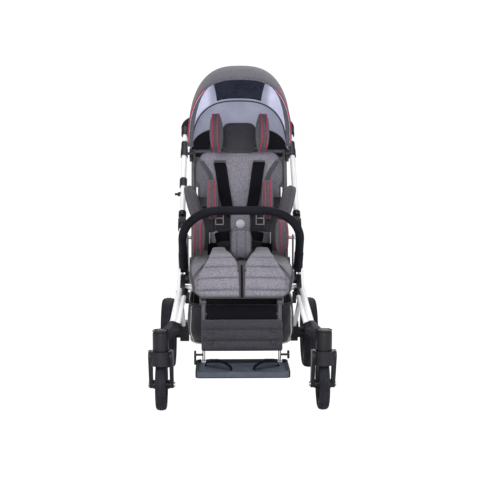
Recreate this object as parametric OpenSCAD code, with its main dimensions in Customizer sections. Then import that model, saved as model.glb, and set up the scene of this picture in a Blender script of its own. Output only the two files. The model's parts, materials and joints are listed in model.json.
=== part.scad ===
// Special needs buggy: folding tube chassis on casters, tilting padded seat unit, canopy, leg rest.
// Units are millimetres, Z is up, the front faces -Y, the origin is under the middle of the bounding box.

/* [Wheels] */
// outside diameter of a front tyre
front_wheel_d = 184; // [170:1:190]
// width of a front tyre
front_tyre_w = 38; // [34:1:42]
// distance between the two caster swivel axes
caster_track = 570; // [560:1:584]
// distance of the front axle behind its swivel axis
caster_trail = 35; // [30:1:38]
// outside diameter of a rear tyre
rear_wheel_d = 290; // [280:1:300]
// width of a rear tyre
rear_tyre_w = 56; // [50:1:60]
// distance between the rear wheel centres
rear_track = 580; // [576:1:600]
// distance from the front axles to the rear axle
wheelbase = 620; // [600:1:640]

/* [Frame] */
// outside diameter of the main tubes
tube_d = 23; // [21:0.5:24]
// distance between the main tubes
frame_w = 454; // [450:1:460]
// slope of the push tubes above the floor line
push_slope = 42; // [40:0.5:44]
// tube from the bend to the fold knuckle
lower_tube_l = 336; // [320:1:350]
// tube from the fold knuckle to the height collar
push_tube_l = 404; // [390:1:420]
// collar to the middle of the handle grip
handle_out = 195; // [185:1:210]
// outside diameter of the foam grip
grip_d = 33; // [30:1:36]

/* [Seat] */
// width of the seat cushion
seat_w = 388; // [370:1:390]
// height of the seat pan above the floor
pan_z = 455; // [450:1:458]
// thickness of the seat cushion at its crown
seat_t = 54; // [46:1:58]
// lean of the backrest from upright
back_lean = 17.5; // [15:0.5:20]
// length of the back cushion
back_l = 385; // [370:1:390]
// outside diameter of the bumper bar foam
bumper_d = 31; // [28:1:32]

/* [Leg rest] */
// lean of the leg rest from upright
leg_lean = 9; // [6:0.5:11]
// width of the footplate
plate_w = 326; // [300:1:328]
// depth of the footplate
plate_d = 190; // [180:1:196]

/* [Canopy] */
// thickness of the canopy cloth and lining
cloth_t = 3; // [2.5:0.1:3.5]
// half width of the front canopy section
canopy_hw = 203; // [200:1:204]

// angle of the canopy's front edge, from straight back over the top
canopy_front_g = 128; // [125:0.5:130]

/* [Hidden] */
$fn = 48;
eps = 0.05;
tube_r = tube_d / 2;
strut_r = 8.5;
bar_r = 9.1;
grip_r = grip_d / 2;
side_x = frame_w / 2;
axle_f = [0, -350, front_wheel_d / 2];
axle_r = [0, axle_f.y + wheelbase, rear_wheel_d / 2];
swivel = [caster_track / 2, axle_f.y - caster_trail, 0];
house_z = front_wheel_d + 24;
house_top = house_z + 88;
bend_p = [side_x, -120, 396];
up = [0, cos(push_slope), sin(push_slope)];
knuckle = bend_p + lower_tube_l * up;
collar = knuckle + push_tube_l * up;
grip_p = collar + handle_out * up;
leg_end = [swivel.x - 36, axle_f.y + 5, house_top - 9];
strut_end = leg_end - [18, 0, 4];
strut_top = bend_p - [20, 0, 4];
leg_dir = unit(bend_p - leg_end);
strut_stop = strut_top - 30 * leg_dir;
strut_dir = unit(strut_stop - strut_end);
tilt_p = bend_p + 47 * up;
fold_p = [side_x, -95, 370];
leg_r = 9;
leg_foot = [side_x, axle_r.y - 30, axle_r.z + 30];
brake_p = [0, axle_r.y + 18, axle_r.z + 36];
rail_x = 181;
rail_r = 9;
pan_front = -235;
pan_hw = 186;
pan_y = [-194, 70];
pan_t = 8;
rail_z = pan_z - pan_t - rail_r;
seat_hw = seat_w / 2;
seat_rear = 60;
seat_flat = 262;
seat_bend = 52;
bend_run = seat_bend * PI / 4;
pommel_y = -118;
pommel_r = 8;
hip_pin = [0, -20, pan_z + 120];
hip_r = 6;
bumper_p = [214, -104, 470];
bumper_dir = [0, -cos(55), sin(55)];
bumper_l = 281;
bumper_bend = 140;
bumper_r = bumper_d / 2;
back_p = [0, 100, 470];
canopy_p = back_at(-39.5, back_l + 40);
back_x = 183;
back_r = 8.5;
back_hw = 165;
back_z = 40;
trunk_z = 201;
trunk_h = 42;
strap_slot = back_l - 1;
leg_p = [0, -238, 366];
leg_x = 137;
leg_bar_r = 8;
calf_hw = 149;
calf_z = -176;
calf_h = 112;
calf_y = -leg_bar_r - 0.1;
stud_r = 6;
stud_x = 112;
stud_z = [-102, -144];
plate_s = 215;
plate_h = leg_p - plate_s * [0, sin(leg_lean), cos(leg_lean)];
plate_front = plate_h.y - 11 - plate_d;
y_back = grip_p.y + grip_r;
y_mid = (plate_front + y_back) / 2;
plate_top = plate_h.z + 3;
strap_r = 46;
strap_h = 34;
strap_x = plate_w / 2 - 79;
nub_l = 12;
basket_hw = 199;
basket_y = [-186, 198];
basket_z = [186, 338];
basket_t = 3;
rim_r = 5;
rim_x = basket_hw + rim_r - 1;
rim_z = basket_z[1] + rim_r - 2;

black = [0.08, 0.08, 0.09];
white = [0.93, 0.93, 0.94];
grey = [0.5, 0.49, 0.52];
dark = [0.28, 0.27, 0.3];
steel = [0.7, 0.71, 0.73];

function unit(v) = v / norm(v);
function spow(c, e) = sign(c) * pow(abs(c), e);
function way(pts, i) = unit(pts[i + 1] - pts[i]);
function turn(pts, i) = acos(way(pts, i - 1) * way(pts, i));
function cut(pts, i, bend) = i == 0 || i == len(pts) - 1 ? 0 : bend * tan(turn(pts, i) / 2);
function mean(r) = [for (v = r) 1] * r / len(r);
function bump(x, w) = exp(-(x / w) * (x / w));
function back_to_front(v) = [for (i = [len(v) - 1 : -1 : 0]) v[i]];
// point in the middle plane of the leaning back: out of the back and up along it
function back_at(y, z) = back_p + [0, y * cos(back_lean) + z * sin(back_lean),
    z * cos(back_lean) - y * sin(back_lean)];

// moves the whole buggy so that the origin lies under the middle of its bounding box
module placed() {
    translate([0, -y_mid, 0]) children();
}

// the same shape on both sides
module both() {
    children();
    mirror([1, 0, 0]) children();
}

// the shape on one side, +1 on the right and -1 on the left
module side(s) {
    mirror([s < 0 ? 1 : 0, 0, 0]) children();
}

// a round bar between two points
module rod(p, q, r) {
    v = q - p;
    translate(p)
        rotate([0, acos(v.z / norm(v)), atan2(v.y, v.x)])
            cylinder(r = r, h = norm(v));
}

// a round bar along X
module pin(x0, x1, p, r) {
    translate([x0, p.y, p.z]) rotate([0, 90, 0]) cylinder(r = r, h = x1 - x0);
}

// a round tube along a path with bent corners
module bent(pts, r, bend) {
    n = len(pts);
    for (i = [0 : n - 2])
        rod(pts[i] + cut(pts, i, bend) * way(pts, i),
            pts[i + 1] - cut(pts, i + 1, bend) * way(pts, i), r);
    for (i = [1 : n - 2]) {
        a = way(pts, i - 1);
        b = way(pts, i);
        inward = unit(b - (a * b) * a);
        start = pts[i] - cut(pts, i, bend) * a;
        stop = pts[i] + cut(pts, i, bend) * b;
        rod(start - a, start + a, r + 0.12);
        rod(stop - b, stop + b, r + 0.12);
        mid = start + bend * inward;
        e = -inward;
        f = cross(e, a);
        multmatrix([[e.x, a.x, f.x, mid.x], [e.y, a.y, f.y, mid.y], [e.z, a.z, f.z, mid.z], [0, 0, 0, 1]])
            rotate_extrude(angle = turn(pts, i)) translate([bend, 0]) circle(r = r);
    }
}

// a plate in the YZ plane between two X values, round at each of its points
module web(x0, x1, pts) {
    translate([x0, 0, 0])
        rotate([90, 0, 90])
            linear_extrude(height = x1 - x0)
                hull() for (p = pts) translate([p[0], p[1]]) circle(r = p[2]);
}

// closed surface through rings of equal count, the ends closed by a fan or, for thin arches, by a strip
module loft(rings, strip = false) {
    m = len(rings);
    n = len(rings[0]);
    last = (m - 1) * n;
    fan = m * n;
    wall = [for (i = [0 : m - 2], j = [0 : n - 1])
        let (a = i * n + j, b = i * n + (j + 1) % n) each [[a, b + n, b], [a, a + n, b + n]]];
    fans = [for (j = [0 : n - 1]) each [[fan, j, (j + 1) % n], [fan + 1, last + (j + 1) % n, last + j]]];
    strips = [for (j = [0 : n / 2 - 2]) each [
        [j, j + 1, n - 2 - j], [j, n - 2 - j, n - 1 - j],
        [last + j, last + n - 2 - j, last + j + 1], [last + j, last + n - 1 - j, last + n - 2 - j]]];
    points = [for (r = rings) each r];
    ends = strip ? [] : [mean(rings[0]), mean(rings[m - 1])];
    polyhedron(concat(points, ends), concat(wall, strip ? strips : fans));
}

// a padded slab: outline a by b half sizes, crowned faces h apart, sides drawn in between the corners
module pad(a, b, h, n = 3.6, k = 24) {
    tilt = [-72, -52, -34, -14, 14, 34, 52, 72];
    loft([for (t = tilt) let (f = pow(cos(t), 0.5), z = h / 2 * spow(sin(t), 0.7) / spow(sin(72), 0.7))
        [for (i = [0 : k - 1]) let (g = 360 * i / k, d = f * (1 - 0.04 * pow(cos(2 * g), 2)))
            [a * d * spow(cos(g), 2 / n), b * d * spow(sin(g), 2 / n), z]]]);
}

// a pad whose faces look sideways: height 2a, depth 2b, thickness h
module side_pad(a, b, h, n = 3.6) {
    rotate([0, 90, 0]) pad(a, b, h, n);
}

// local frame of the backrest: Z runs up the back, -Y faces forward
module on_back() {
    translate(back_p) rotate([-back_lean, 0, 0]) children();
}

// local frame of the leg rest: -Z runs down the bars, -Y faces forward
module on_leg() {
    translate(leg_p) rotate([-leg_lean, 0, 0]) children();
}

// flat webbing along stations of [middle, half width vector, thickness vector]
module webbing(stations) {
    loft([for (s = stations) [s[0] + s[1] + s[2], s[0] - s[1] + s[2], s[0] - s[1], s[0] + s[1]]]);
}

// wheel parts about the X axis
function tyre_ring(r0, r1, w) = concat(
    [[r0, -w * 0.36], [r0, w * 0.36]],
    [for (t = [80 : -10 : -80])
        [r0 + (r1 - r0) * (0.42 + 0.58 * pow(cos(t), 0.6)), w / 2 * spow(sin(t), 0.8)]]);

module wheel_tyre(p, d, w, r0) {
    translate(p) rotate([0, 90, 0]) rotate_extrude() polygon(tyre_ring(r0, d / 2, w));
}

module wheel_rim(p, r0, w, hub_r, hub0, hub1, bore, spokes) {
    translate(p) rotate([0, 90, 0]) difference() {
        union() {
            rotate_extrude() polygon([[r0 - 11, -w / 2 + 5], [r0 - 6, -w / 2], [r0, -w / 2],
                [r0, w / 2], [r0 - 6, w / 2], [r0 - 11, w / 2 - 5]]);
            translate([0, 0, hub0]) cylinder(r = hub_r, h = hub1 - hub0);
            for (i = [0 : spokes - 1]) rotate([0, 0, 360 * i / spokes])
                translate([hub_r - 4, -7, -6]) cube([r0 - 8 - hub_r + 4, 14, 12]);
        }
        translate([0, 0, hub0 - 1]) cylinder(r = bore, h = hub1 - hub0 + 2);
    }
}

// chassis

module main_tubes() {
    color(white) placed() both()
        bent([leg_end, bend_p, knuckle - 21 * up], tube_r, 90);
}

module front_struts() {
    color(white) placed() both() difference() {
        union() {
            rod(strut_end, strut_stop, strut_r);
            for (t = [0.2, 0.46, 0.72]) hull() {
                translate(strut_end + t * (strut_top - strut_end)) rod([0, 0, 0], 22 * leg_dir, 3, $fn = 8);
                translate(leg_end + t * (bend_p - leg_end)) rod([0, 0, 0], 22 * leg_dir, 3, $fn = 8);
            }
        }
        rod(leg_end - 20 * leg_dir, bend_p + 20 * leg_dir, tube_r + eps);
    }
}

module pivot_blocks() {
    color(black) placed() both() {
        difference() {
            union() {
                web(side_x - 18, side_x - 1,
                    [[bend_p.y, bend_p.z, 17], [tilt_p.y, tilt_p.z, 17], [fold_p.y, fold_p.z, 15]]);
                web(side_x + 11.6, side_x + 16,
                    [[bend_p.y + 6, bend_p.z - 20, 10], [fold_p.y, fold_p.z, 14]]);
                translate([side_x - 6, bend_p.y - 8, bend_p.z - 27]) cube([20, 16, 14]);
                rod(strut_top - 48 * leg_dir, strut_top - 6 * leg_dir, 11.5);
            }
            rod(leg_end, bend_p, tube_r + 0.14);
            rod(bend_p, knuckle, tube_r + 0.14);
            translate(bend_p) sphere(r = tube_r + 1.5);
            rod(strut_end, strut_stop + strut_dir, strut_r + eps);
            pin(side_x - 11.6, side_x + 11.6, fold_p, 17);
            translate([side_x - 11.6, fold_p.y, fold_p.z - 60]) cube([23.2, 60, 58]);
        }
        pin(side_x - 36, side_x - 14, tilt_p, 6);
        pin(side_x - 14, side_x + 14, fold_p, 6);
    }
}

module cross_tube() {
    color(white) placed() pin(-side_x + 18, side_x - 18, [0, -103, 396], 10);
}

module caster_housing(s) {
    color(black) placed() side(s) difference() {
        union() {
            translate([swivel.x, swivel.y, 0]) rotate_extrude()
                polygon([[0, house_z], [25, house_z], [28, house_z + 4], [28, house_top - 16],
                    [27, house_top - 9], [22, house_top - 3], [14, house_top], [0, house_top]]);
            hull() {
                rod(leg_end, leg_end + 32 * leg_dir, tube_r + 3.5);
                rod(strut_end, strut_end + 32 * leg_dir, strut_r + 3);
                translate([swivel.x - 8, swivel.y + 10, house_top - 46]) cylinder(r = 12, h = 34);
            }
        }
        translate([swivel.x, swivel.y, house_z - 1]) cylinder(r = 9 + eps, h = 63);
        rod(leg_end, leg_end + 60 * leg_dir, tube_r + eps);
        rod(strut_end, strut_end + 60 * strut_dir, strut_r + eps);
    }
}

module caster_housing_left() { caster_housing(-1); }
module caster_housing_right() { caster_housing(1); }

module fold_sockets() {
    color(black) placed() both() {
        difference() {
            union() {
                rod(knuckle - 44 * up, knuckle - 20 * up, tube_r + 4);
                for (x = [-15.5, 11.8])
                    web(side_x + x, side_x + x + 3.7, [[knuckle.y, knuckle.z, 14.5],
                        [knuckle.y - 24 * up.y, knuckle.z - 24 * up.z, 14.5]]);
            }
            rod(knuckle - 60 * up, knuckle - 21 * up, tube_r + eps);
        }
        pin(side_x - 13, side_x + 13, knuckle, 5);
    }
}

// rounded basket outline at a height, drawn in from its full size
function bag(inset, z) = [for (i = [0 : 27]) let (g = 360 * i / 28)
    [(basket_hw - inset) * spow(cos(g), 0.4),
        (basket_y[0] + basket_y[1]) / 2 + ((basket_y[1] - basket_y[0]) / 2 - inset) * spow(sin(g), 0.4), z]];

module basket() {
    base = basket_z[0];
    outer = [[50, base], [14, base + 3], [3, base + 28], [0, base + 84], [0, basket_z[1]]];
    inner = [for (o = outer) [o[0] + basket_t, min(o[1] + 1.15 * basket_t, basket_z[1])]];
    color(dark) placed() {
        loft([for (o = concat(outer, back_to_front(inner))) bag(o[0], o[1])]);
        for (x = [-rim_x, rim_x]) rod([x, basket_y[0], rim_z], [x, basket_y[1], rim_z], rim_r);
        for (y = basket_y) rod([-rim_x, y, rim_z], [rim_x, y, rim_z], rim_r);
        for (x = [-rim_x, rim_x], y = basket_y) translate([x, y, rim_z]) sphere(r = rim_r);
        both() web(rim_x, side_x - 18, [[fold_p.y, rim_z + rim_r, 9], [fold_p.y, fold_p.z + 2, 9]]);
    }
}

module tube_clamp() {
    nub = knuckle + 150 * up;
    color(black) placed() side(-1) difference() {
        union() {
            rod(knuckle + 190 * up, knuckle + 232 * up, tube_r + 4);
            pin(side_x + 6, side_x + 21, nub, 9);
            pin(side_x + 21, side_x + 21 + nub_l, nub, 5);
        }
        rod(knuckle + 100 * up, knuckle + 260 * up, tube_r + eps);
    }
}

// rear frame

module rear_legs() {
    color(white) placed() both() difference() {
        union() {
            rod(fold_p, leg_foot, leg_r);
            pin(side_x - 11, side_x + 11, fold_p, 13);
        }
        pin(side_x - 14, side_x + 14, fold_p, 6 + eps);
    }
}

module rear_axle_beam() {
    color(steel) placed() {
        pin(-side_x - 16, side_x + 16, axle_r, 11);
        both() pin(side_x + 10, rear_track / 2 + 24, axle_r, 7);
    }
}

module rear_fittings() {
    color(black) placed() both() difference() {
        web(side_x - 21, side_x + 16, [[axle_r.y - 4, axle_r.z - 12, 24],
            [leg_foot.y - 14, leg_foot.z + 10, 15], [brake_p.y, brake_p.z, 14]]);
        pin(side_x - 30, side_x + 30, axle_r, 11 + eps);
        pin(side_x - 30, side_x - 9, brake_p, 6 + eps);
        rod(leg_foot, fold_p, leg_r + eps);
    }
}

module rear_tyre(s) {
    color(black) placed() side(s)
        wheel_tyre([rear_track / 2, axle_r.y, axle_r.z], rear_wheel_d, rear_tyre_w, rear_wheel_d / 2 - 33);
}

module rear_rim(s) {
    color(dark) placed() side(s) {
        wheel_rim([rear_track / 2, axle_r.y, axle_r.z], rear_wheel_d / 2 - 33, 42, 22,
            side_x + 17 - rear_track / 2, 25, 7 + eps, 6);
        pin(rear_track / 2 + 25, rear_track / 2 + 29, axle_r, 20);
    }
}

module rear_tyre_left() { rear_tyre(-1); }
module rear_tyre_right() { rear_tyre(1); }
module rear_rim_left() { rear_rim(-1); }
module rear_rim_right() { rear_rim(1); }

module brake_bar() {
    color(black) placed() {
        pin(-side_x + 10, side_x - 10, brake_p, 6);
        web(-42, 42, [[brake_p.y, brake_p.z, 7], [brake_p.y + 52, brake_p.z + 8, 5]]);
    }
}

// casters

module caster_fork(s) {
    color(black) placed() side(s) translate([swivel.x, swivel.y, 0]) difference() {
        union() {
            translate([0, 0, house_z - 18]) cylinder(r = 38, h = 12);
            translate([0, 0, house_z - 8]) cylinder(r = 16, h = 7.5);
            translate([0, 0, house_z - 8]) cylinder(r = 9, h = 68);
            rotate([0, 0, 180]) rotate_extrude(angle = 180)
                translate([30.5, house_z - 36]) square([8, 50]);
            for (x = [-43, 30])
                web(x, x + 13, [[-6, house_z - 4, 17], [10, house_z - 2, 16], [caster_trail, axle_f.z, 14]]);
        }
        pin(-60, 60, [0, caster_trail, axle_f.z], 5 + eps);
    }
}

module caster_fork_left() { caster_fork(-1); }
module caster_fork_right() { caster_fork(1); }

module caster_axle(s) {
    color(steel) placed() side(s) {
        pin(swivel.x - 44, swivel.x + 44, axle_f, 5);
        for (x = [-48, 43]) pin(swivel.x + x, swivel.x + x + 5, axle_f, 9);
    }
}

module caster_axle_left() { caster_axle(-1); }
module caster_axle_right() { caster_axle(1); }

module front_tyre(s) {
    color(black) placed() side(s)
        wheel_tyre([swivel.x, axle_f.y, axle_f.z], front_wheel_d, front_tyre_w, front_wheel_d / 2 - 22);
}

module front_rim(s) {
    color(dark) placed() side(s)
        wheel_rim([swivel.x, axle_f.y, axle_f.z], front_wheel_d / 2 - 22, 28, 16, -29, 29, 5 + eps, 5);
}

module front_tyre_left() { front_tyre(-1); }
module front_tyre_right() { front_tyre(1); }
module front_rim_left() { front_rim(-1); }
module front_rim_right() { front_rim(1); }

// push frame and handle

module push_tubes() {
    color(white) placed() both() difference() {
        rod(knuckle + 30 * up, collar, tube_r);
        rod(collar - 215 * up, collar + 10 * up, bar_r + 0.3);
    }
}

module push_fittings() {
    color(black) placed() both() {
        difference() {
            union() {
                rod(knuckle + 28 * up, knuckle + 50 * up, tube_r + 4);
                web(side_x - 11.4, side_x + 11.4, [[knuckle.y, knuckle.z, 14],
                    [knuckle.y + 22 * up.y, knuckle.z + 22 * up.z, 9]]);
            }
            pin(side_x - 20, side_x + 20, knuckle, 5 + eps);
            rod(knuckle + 30 * up, knuckle + 80 * up, tube_r + eps);
        }
        difference() {
            union() {
                rod(collar - 37 * up, collar + 4 * up, tube_r + 4);
                rod(collar + 3 * up, collar + 46 * up, tube_r + 2.5);
            }
            rod(collar - 60 * up, collar, tube_r + eps);
            rod(collar - 1 * up, collar + 60 * up, bar_r + 0.3);
        }
    }
}

function handle_path(t) = [collar + t * up, grip_p, [-side_x, grip_p.y, grip_p.z],
    [-side_x, collar.y, collar.z] + t * up];

module handle_bar() {
    color(white) placed() bent(handle_path(-200), bar_r, 55);
}

module handle_grip() {
    color(black) placed() difference() {
        bent(handle_path(139.5), grip_r, 55);
        bent(handle_path(120), bar_r + eps, 55);
    }
}

module handle_fittings() {
    color(black) placed() both() difference() {
        union() {
            rod(collar + 92 * up, collar + 100 * up, tube_r + 3);
            rod(collar + 99 * up, collar + 139 * up, tube_r + 4);
        }
        rod(collar + 40 * up, collar + 150 * up, bar_r + eps);
    }
}

// seat

module seat_frame() {
    color(dark) placed() difference() {
        union() {
            for (x = [-rail_x, rail_x])
                rod([x, pan_front + 8, rail_z], [x, back_p.y + 2, rail_z], rail_r);
            for (y = [pan_front + 8, 62]) pin(-rail_x, rail_x, [0, y, rail_z], 8);
            both() {
                web(192, 198, [[64, rail_z, 10], [96, rail_z, 10], [back_p.y, back_p.z, 14]]);
                pin(rail_x, 194, [0, 84, rail_z], 7);
                pin(176, 194, back_p, 6);
                web(leg_x + 10, leg_x + 15, [[pan_front + 8, rail_z, 8.5], [leg_p.y, leg_p.z, 10]]);
                pin(leg_x - 9, leg_x + 12, leg_p, 5);
                web(197.5, 203, [[hip_pin.y, rail_z, 12], [hip_pin.y, hip_pin.z, 12]]);
                pin(rail_x, 199, [0, hip_pin.y, rail_z], 8);
            }
        }
        both() pin(180, 210, hip_pin, hip_r + eps);
    }
}

module seat_pan() {
    color(black) placed() difference() {
        translate([-pan_hw, pan_y[0], pan_z - pan_t]) cube([2 * pan_hw, pan_y[1] - pan_y[0], pan_t]);
        translate([0, pommel_y, pan_z - 20]) cylinder(r = pommel_r + eps, h = 40);
    }
}

// middle line of the cushion underside: [y, z, direction up out of the cushion]
function seat_line(s) = let (edge = seat_rear - seat_flat, low = pan_z + 0.4 - seat_bend,
    g = 90 * (s - seat_flat) / bend_run)
    g < 0 ? [seat_rear - s, pan_z + eps, 90]
    : g < 90 ? [edge - seat_bend * sin(g), low + seat_bend * cos(g), 90 + g]
    : [edge - seat_bend, low - (s - seat_flat - bend_run), 180];

// ring of the cushion at a length along its underside, f being its fullness
function seat_ring(s, f) = let (m = seat_line(s), ty = cos(m[2]), tz = sin(m[2]))
    concat(
        [for (u = [1, 0.97, 0.9, 0.78, 0.6, 0.4, 0.2, 0.07, 0.02,
            -0.02, -0.07, -0.2, -0.4, -0.6, -0.78, -0.9, -0.97, -1])
            let (split = s > 150 ? 1 - 0.45 * bump(u, 0.035) : 1 - 0.12 * bump(u, 0.05),
                h = 6 + (seat_t - 6) * f * pow(1 - pow(abs(u), 5), 0.45) * split)
                [u * seat_hw * (0.96 + 0.04 * f), m[0] + ty * h, m[1] + tz * h]],
        [for (u = [-0.98, -0.7, -0.35, 0, 0.35, 0.7, 0.98])
            [u * seat_hw * (0.96 + 0.04 * f), m[0], m[1]]]);

module seat_cushion() {
    color(grey) placed() difference() {
        loft(concat([seat_ring(0, 0.15), seat_ring(3, 0.62)],
            [for (i = [0 : 26]) let (f = 0.86 + 0.14 * abs(sin(i * 45)))
                seat_ring(14 + i * 11.5, i > 24 ? 0.82 * f : f)],
            [seat_ring(320, 0.45), seat_ring(324, 0.1)]));
        translate([0, pommel_y, pan_z - 10]) cylinder(r = pommel_r + 2, h = 100);
    }
}

module seat_mounts() {
    color(black) placed() both() difference() {
        union() {
            web(191, side_x - 18.4, [[tilt_p.y, tilt_p.z, 20], [tilt_p.y, rail_z + 4, 12]]);
            web(rail_x - 12, 192, [[tilt_p.y - 8, rail_z - 3, 9], [tilt_p.y + 8, rail_z - 3, 9]]);
        }
        pin(150, 250, tilt_p, 6 + eps);
        rod([rail_x, -200, rail_z], [rail_x, 50, rail_z], rail_r + eps);
        translate([100, -200, pan_z - pan_t]) cube([91, 200, 40]);
    }
}

module bumper_sockets() {
    color(black) placed() both() {
        difference() {
            union() {
                web(194.4, 196.6, [[-132, rail_z, 11], [bumper_p.y, bumper_p.z, 12]]);
                web(rail_x - 12, 196, [[-140, rail_z - 3, 9], [-126, rail_z - 3, 9]]);
            }
            rod([rail_x, -200, rail_z], [rail_x, 50, rail_z], rail_r + eps);
            translate([100, -200, pan_z - pan_t]) cube([91, 200, 40]);
        }
        pin(195, 226, bumper_p, 7);
    }
}

module bumper_bar() {
    foot = bumper_p + 8 * bumper_dir;
    top = bumper_p + bumper_l * bumper_dir;
    color(black) placed() difference() {
        union() {
            bent([foot, top, [-top.x, top.y, top.z], [-foot.x, foot.y, foot.z]], bumper_r, bumper_bend);
            both() pin(bumper_p.x - 14, bumper_p.x + 11, bumper_p, bumper_r + 1);
            both() rod(bumper_p + 6 * bumper_dir, bumper_p + 76 * bumper_dir, bumper_r + 1.5);
        }
        both() pin(150, 250, bumper_p, 7 + eps);
    }
}

module hip_pad(s) {
    color(grey) placed() side(s) {
        translate([159, hip_pin.y + 8, hip_pin.z + 4]) rotate([0, 0, 10]) side_pad(60, 74, 48, 2.6);
        pin(180, 210, hip_pin, hip_r);
    }
}

module hip_pad_left() { hip_pad(-1); }
module hip_pad_right() { hip_pad(1); }

module pommel() {
    color(grey) placed() {
        translate([0, pommel_y, pan_z + 112]) rotate([90, 0, 0]) pad(37, 52, 74, 4.6);
        translate([0, pommel_y, pan_z - 12]) cylinder(r = pommel_r, h = 90);
    }
}

// the two hip belts run level behind the pommel, where the belly pad's tongue lies on them
belt_y = 8;
belt_z = pan_z + 123;
belt_t = 2.5;
belt_hw = 19;

module hip_belt() {
    color(black) placed() both() webbing(back_to_front([
        [[113, 66.5, pan_z], [belt_hw, 0, 0], [0, -belt_t, 0]],
        [[113, 66.5, pan_z + 60], [belt_hw, 0, 0], [0, -belt_t, 0]],
        [[111, 58, pan_z + 86], [17, 2, 9], [0, -1.6, -2]],
        [[102, 38, pan_z + 108], [8, 6, 16], [0.6, -2, 0.6]],
        [[72, 16, belt_z - 3], [4, 2, 18], [0.6, -2.4, 0.4]],
        [[34, belt_y, belt_z], [2, 0, belt_hw], [0, -belt_t, 0]],
        [[8, belt_y, belt_z], [0, 0, belt_hw], [0, -belt_t, 0]]]));
}

module belly_pad() {
    back = belt_y - belt_t - 0.3;
    color(grey) placed() difference() {
        union() {
            translate([0, 6, pan_z + 176]) rotate([78, 0, 0]) {
                pad(37, 46, 22, 3.2, 20);
                translate([0, -8, 8]) cylinder(r1 = 17, r2 = 12, h = 9);
            }
            translate([-26, back - 3, belt_z - 14]) cube([52, 3, 46]);
        }
        translate([-60, back, belt_z - 30]) cube([120, 20, belt_hw + 31]);
    }
}

// back

module back_frame() {
    color(dark) placed() on_back() difference() {
        union() {
            both() {
                rod([back_x, 0, 0], [back_x, 0, back_l + 66], back_r);
                pin(back_x - 6.5, back_x + 6.5, [0, 0, 0], 12);
            }
            pin(-back_x, back_x, [0, 0, back_l + 60], 7);
            translate([8 - back_x, -3, 14]) cube([2 * back_x - 16, 6, back_z + back_l - 18]);
            translate([-26, 3, back_l - 135]) cube([52, 16, 150]);
        }
        both() pin(150, 220, [0, 0, 0], 6 + eps);
        translate([-16.3, 7.7, back_l - 185]) cube([32.6, 6.6, 260]);
        both() translate([165.6, -10, trunk_z - 4]) cube([5.8, 20, trunk_h + 58]);
    }
}

// ring of the back cushion at a share of its length, w being its half width and f its fullness
function back_ring(t, w, f) = let (z = back_z + t * back_l) concat(
    [for (u = [1, 0.96, 0.86, 0.72, 0.56, 0.5, 0.3, 0, -0.3, -0.5, -0.56, -0.72, -0.86, -0.96, -1])
        let (h = 5 + 34 * f * pow(1 - pow(abs(u), 6), 0.5) * (0.72 + 0.28 * bump(abs(u) - 0.76, 0.2)))
            [u * w, -3 - eps - h, z]],
    [for (u = [-0.97, -0.6, -0.2, 0.2, 0.6, 0.97]) [u * w, -3 - eps, z]]);

module back_cushion() {
    w = back_hw;
    color(grey) placed() on_back() difference() {
        loft(back_to_front([back_ring(0, w - 15, 0.2), back_ring(0.01, w - 7, 0.7), back_ring(0.05, w - 3, 1),
            back_ring(0.18, w - 1, 0.95), back_ring(0.34, w, 1), back_ring(0.49, w - 1, 0.95),
            back_ring(0.65, w - 3, 1), back_ring(0.79, w - 7, 0.97), back_ring(0.91, w - 13, 1),
            back_ring(0.97, w - 19, 0.9), back_ring(0.99, w - 27, 0.6), back_ring(1, w - 35, 0.15)]));
        both() translate([59.7, -80, strap_slot - 0.3]) cube([36.6, 80, 5.6]);
    }
}

module side_wings() {
    mid = back_at(-106, 204);
    color(grey) placed() both() {
        translate([180, mid.y, mid.z]) rotate([-back_lean, 20, 15]) side_pad(70, 50, 36, 3);
        difference() {
            translate([back_x - 4, mid.y + 32, mid.z + 2]) cube([8, 82, 22]);
            on_back() rod([back_x, 0, 100], [back_x, 0, 400], back_r + eps);
            translate([back_x - 13, mid.y + 111, mid.z - 4]) cube([30, 20, 40]);
        }
    }
}

module harness() {
    rise = strap_slot + 4 - 190;
    color(black) placed() on_back() both() {
        webbing([
            [[48, -66, 190], [17, 0, 0], [0, 3, 1]],
            [[58, -55, 190 + 0.15 * rise], [19, 0, 0], [0, 3.5, 0.5]],
            [[70, -47.5, 190 + 0.4 * rise], [20, 0, 0], [0, 3.5, 0]],
            [[77, -46.5, 190 + 0.7 * rise], [20, 0, 0], [0, 3.5, 0]],
            [[78, -46, 190 + rise], [20, 0, 0], [0, 3.5, 0]]]);
        translate([60, -47, strap_slot]) cube([36, 44, 5]);
    }
}

// outline of the canopy hub that clamps round the back tube, grown by a clearance
function canopy_hub(gap) = [[canopy_p.y, canopy_p.z, 17 + gap], [canopy_p.y + 40, canopy_p.z + 6, 14 + gap],
    [canopy_p.y + 30, canopy_p.z - 22, 12 + gap]];

module canopy_mounts() {
    color(black) placed() both() {
        difference() {
            web(back_x + 1, canopy_hw - 4.6, canopy_hub(0));
            on_back() rod([back_x, 0, back_l - 85], [back_x, 0, back_l + 90], back_r + eps);
        }
        pin(canopy_hw - 7, canopy_hw + 2, canopy_p, 6);
    }
}

// radius of the canopy about its pivot at an angle from straight back
function dome(g) = lookup(g, [[12, 118], [31, 146], [48, 190], [66, 240], [80, 280], [90, 308], [98, 335],
    [104, 353], [110, 364], [118, 367], [125, 364], [131, 359]]);

// arch of the canopy in the plane through its pivot line, from one side to the other
function arch(g, hw, r, k) = [for (i = [0 : k]) let (t = 7 + 166 * i / k)
    [hw * spow(cos(t), 0.74), canopy_p.y + r * spow(sin(t), 0.74) * cos(g),
        canopy_p.z + r * spow(sin(t), 0.74) * sin(g)]];

function hood(g, hw, r, k) = concat(arch(g, hw, r, k), back_to_front(arch(g, hw - cloth_t, r - cloth_t, k)));

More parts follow.
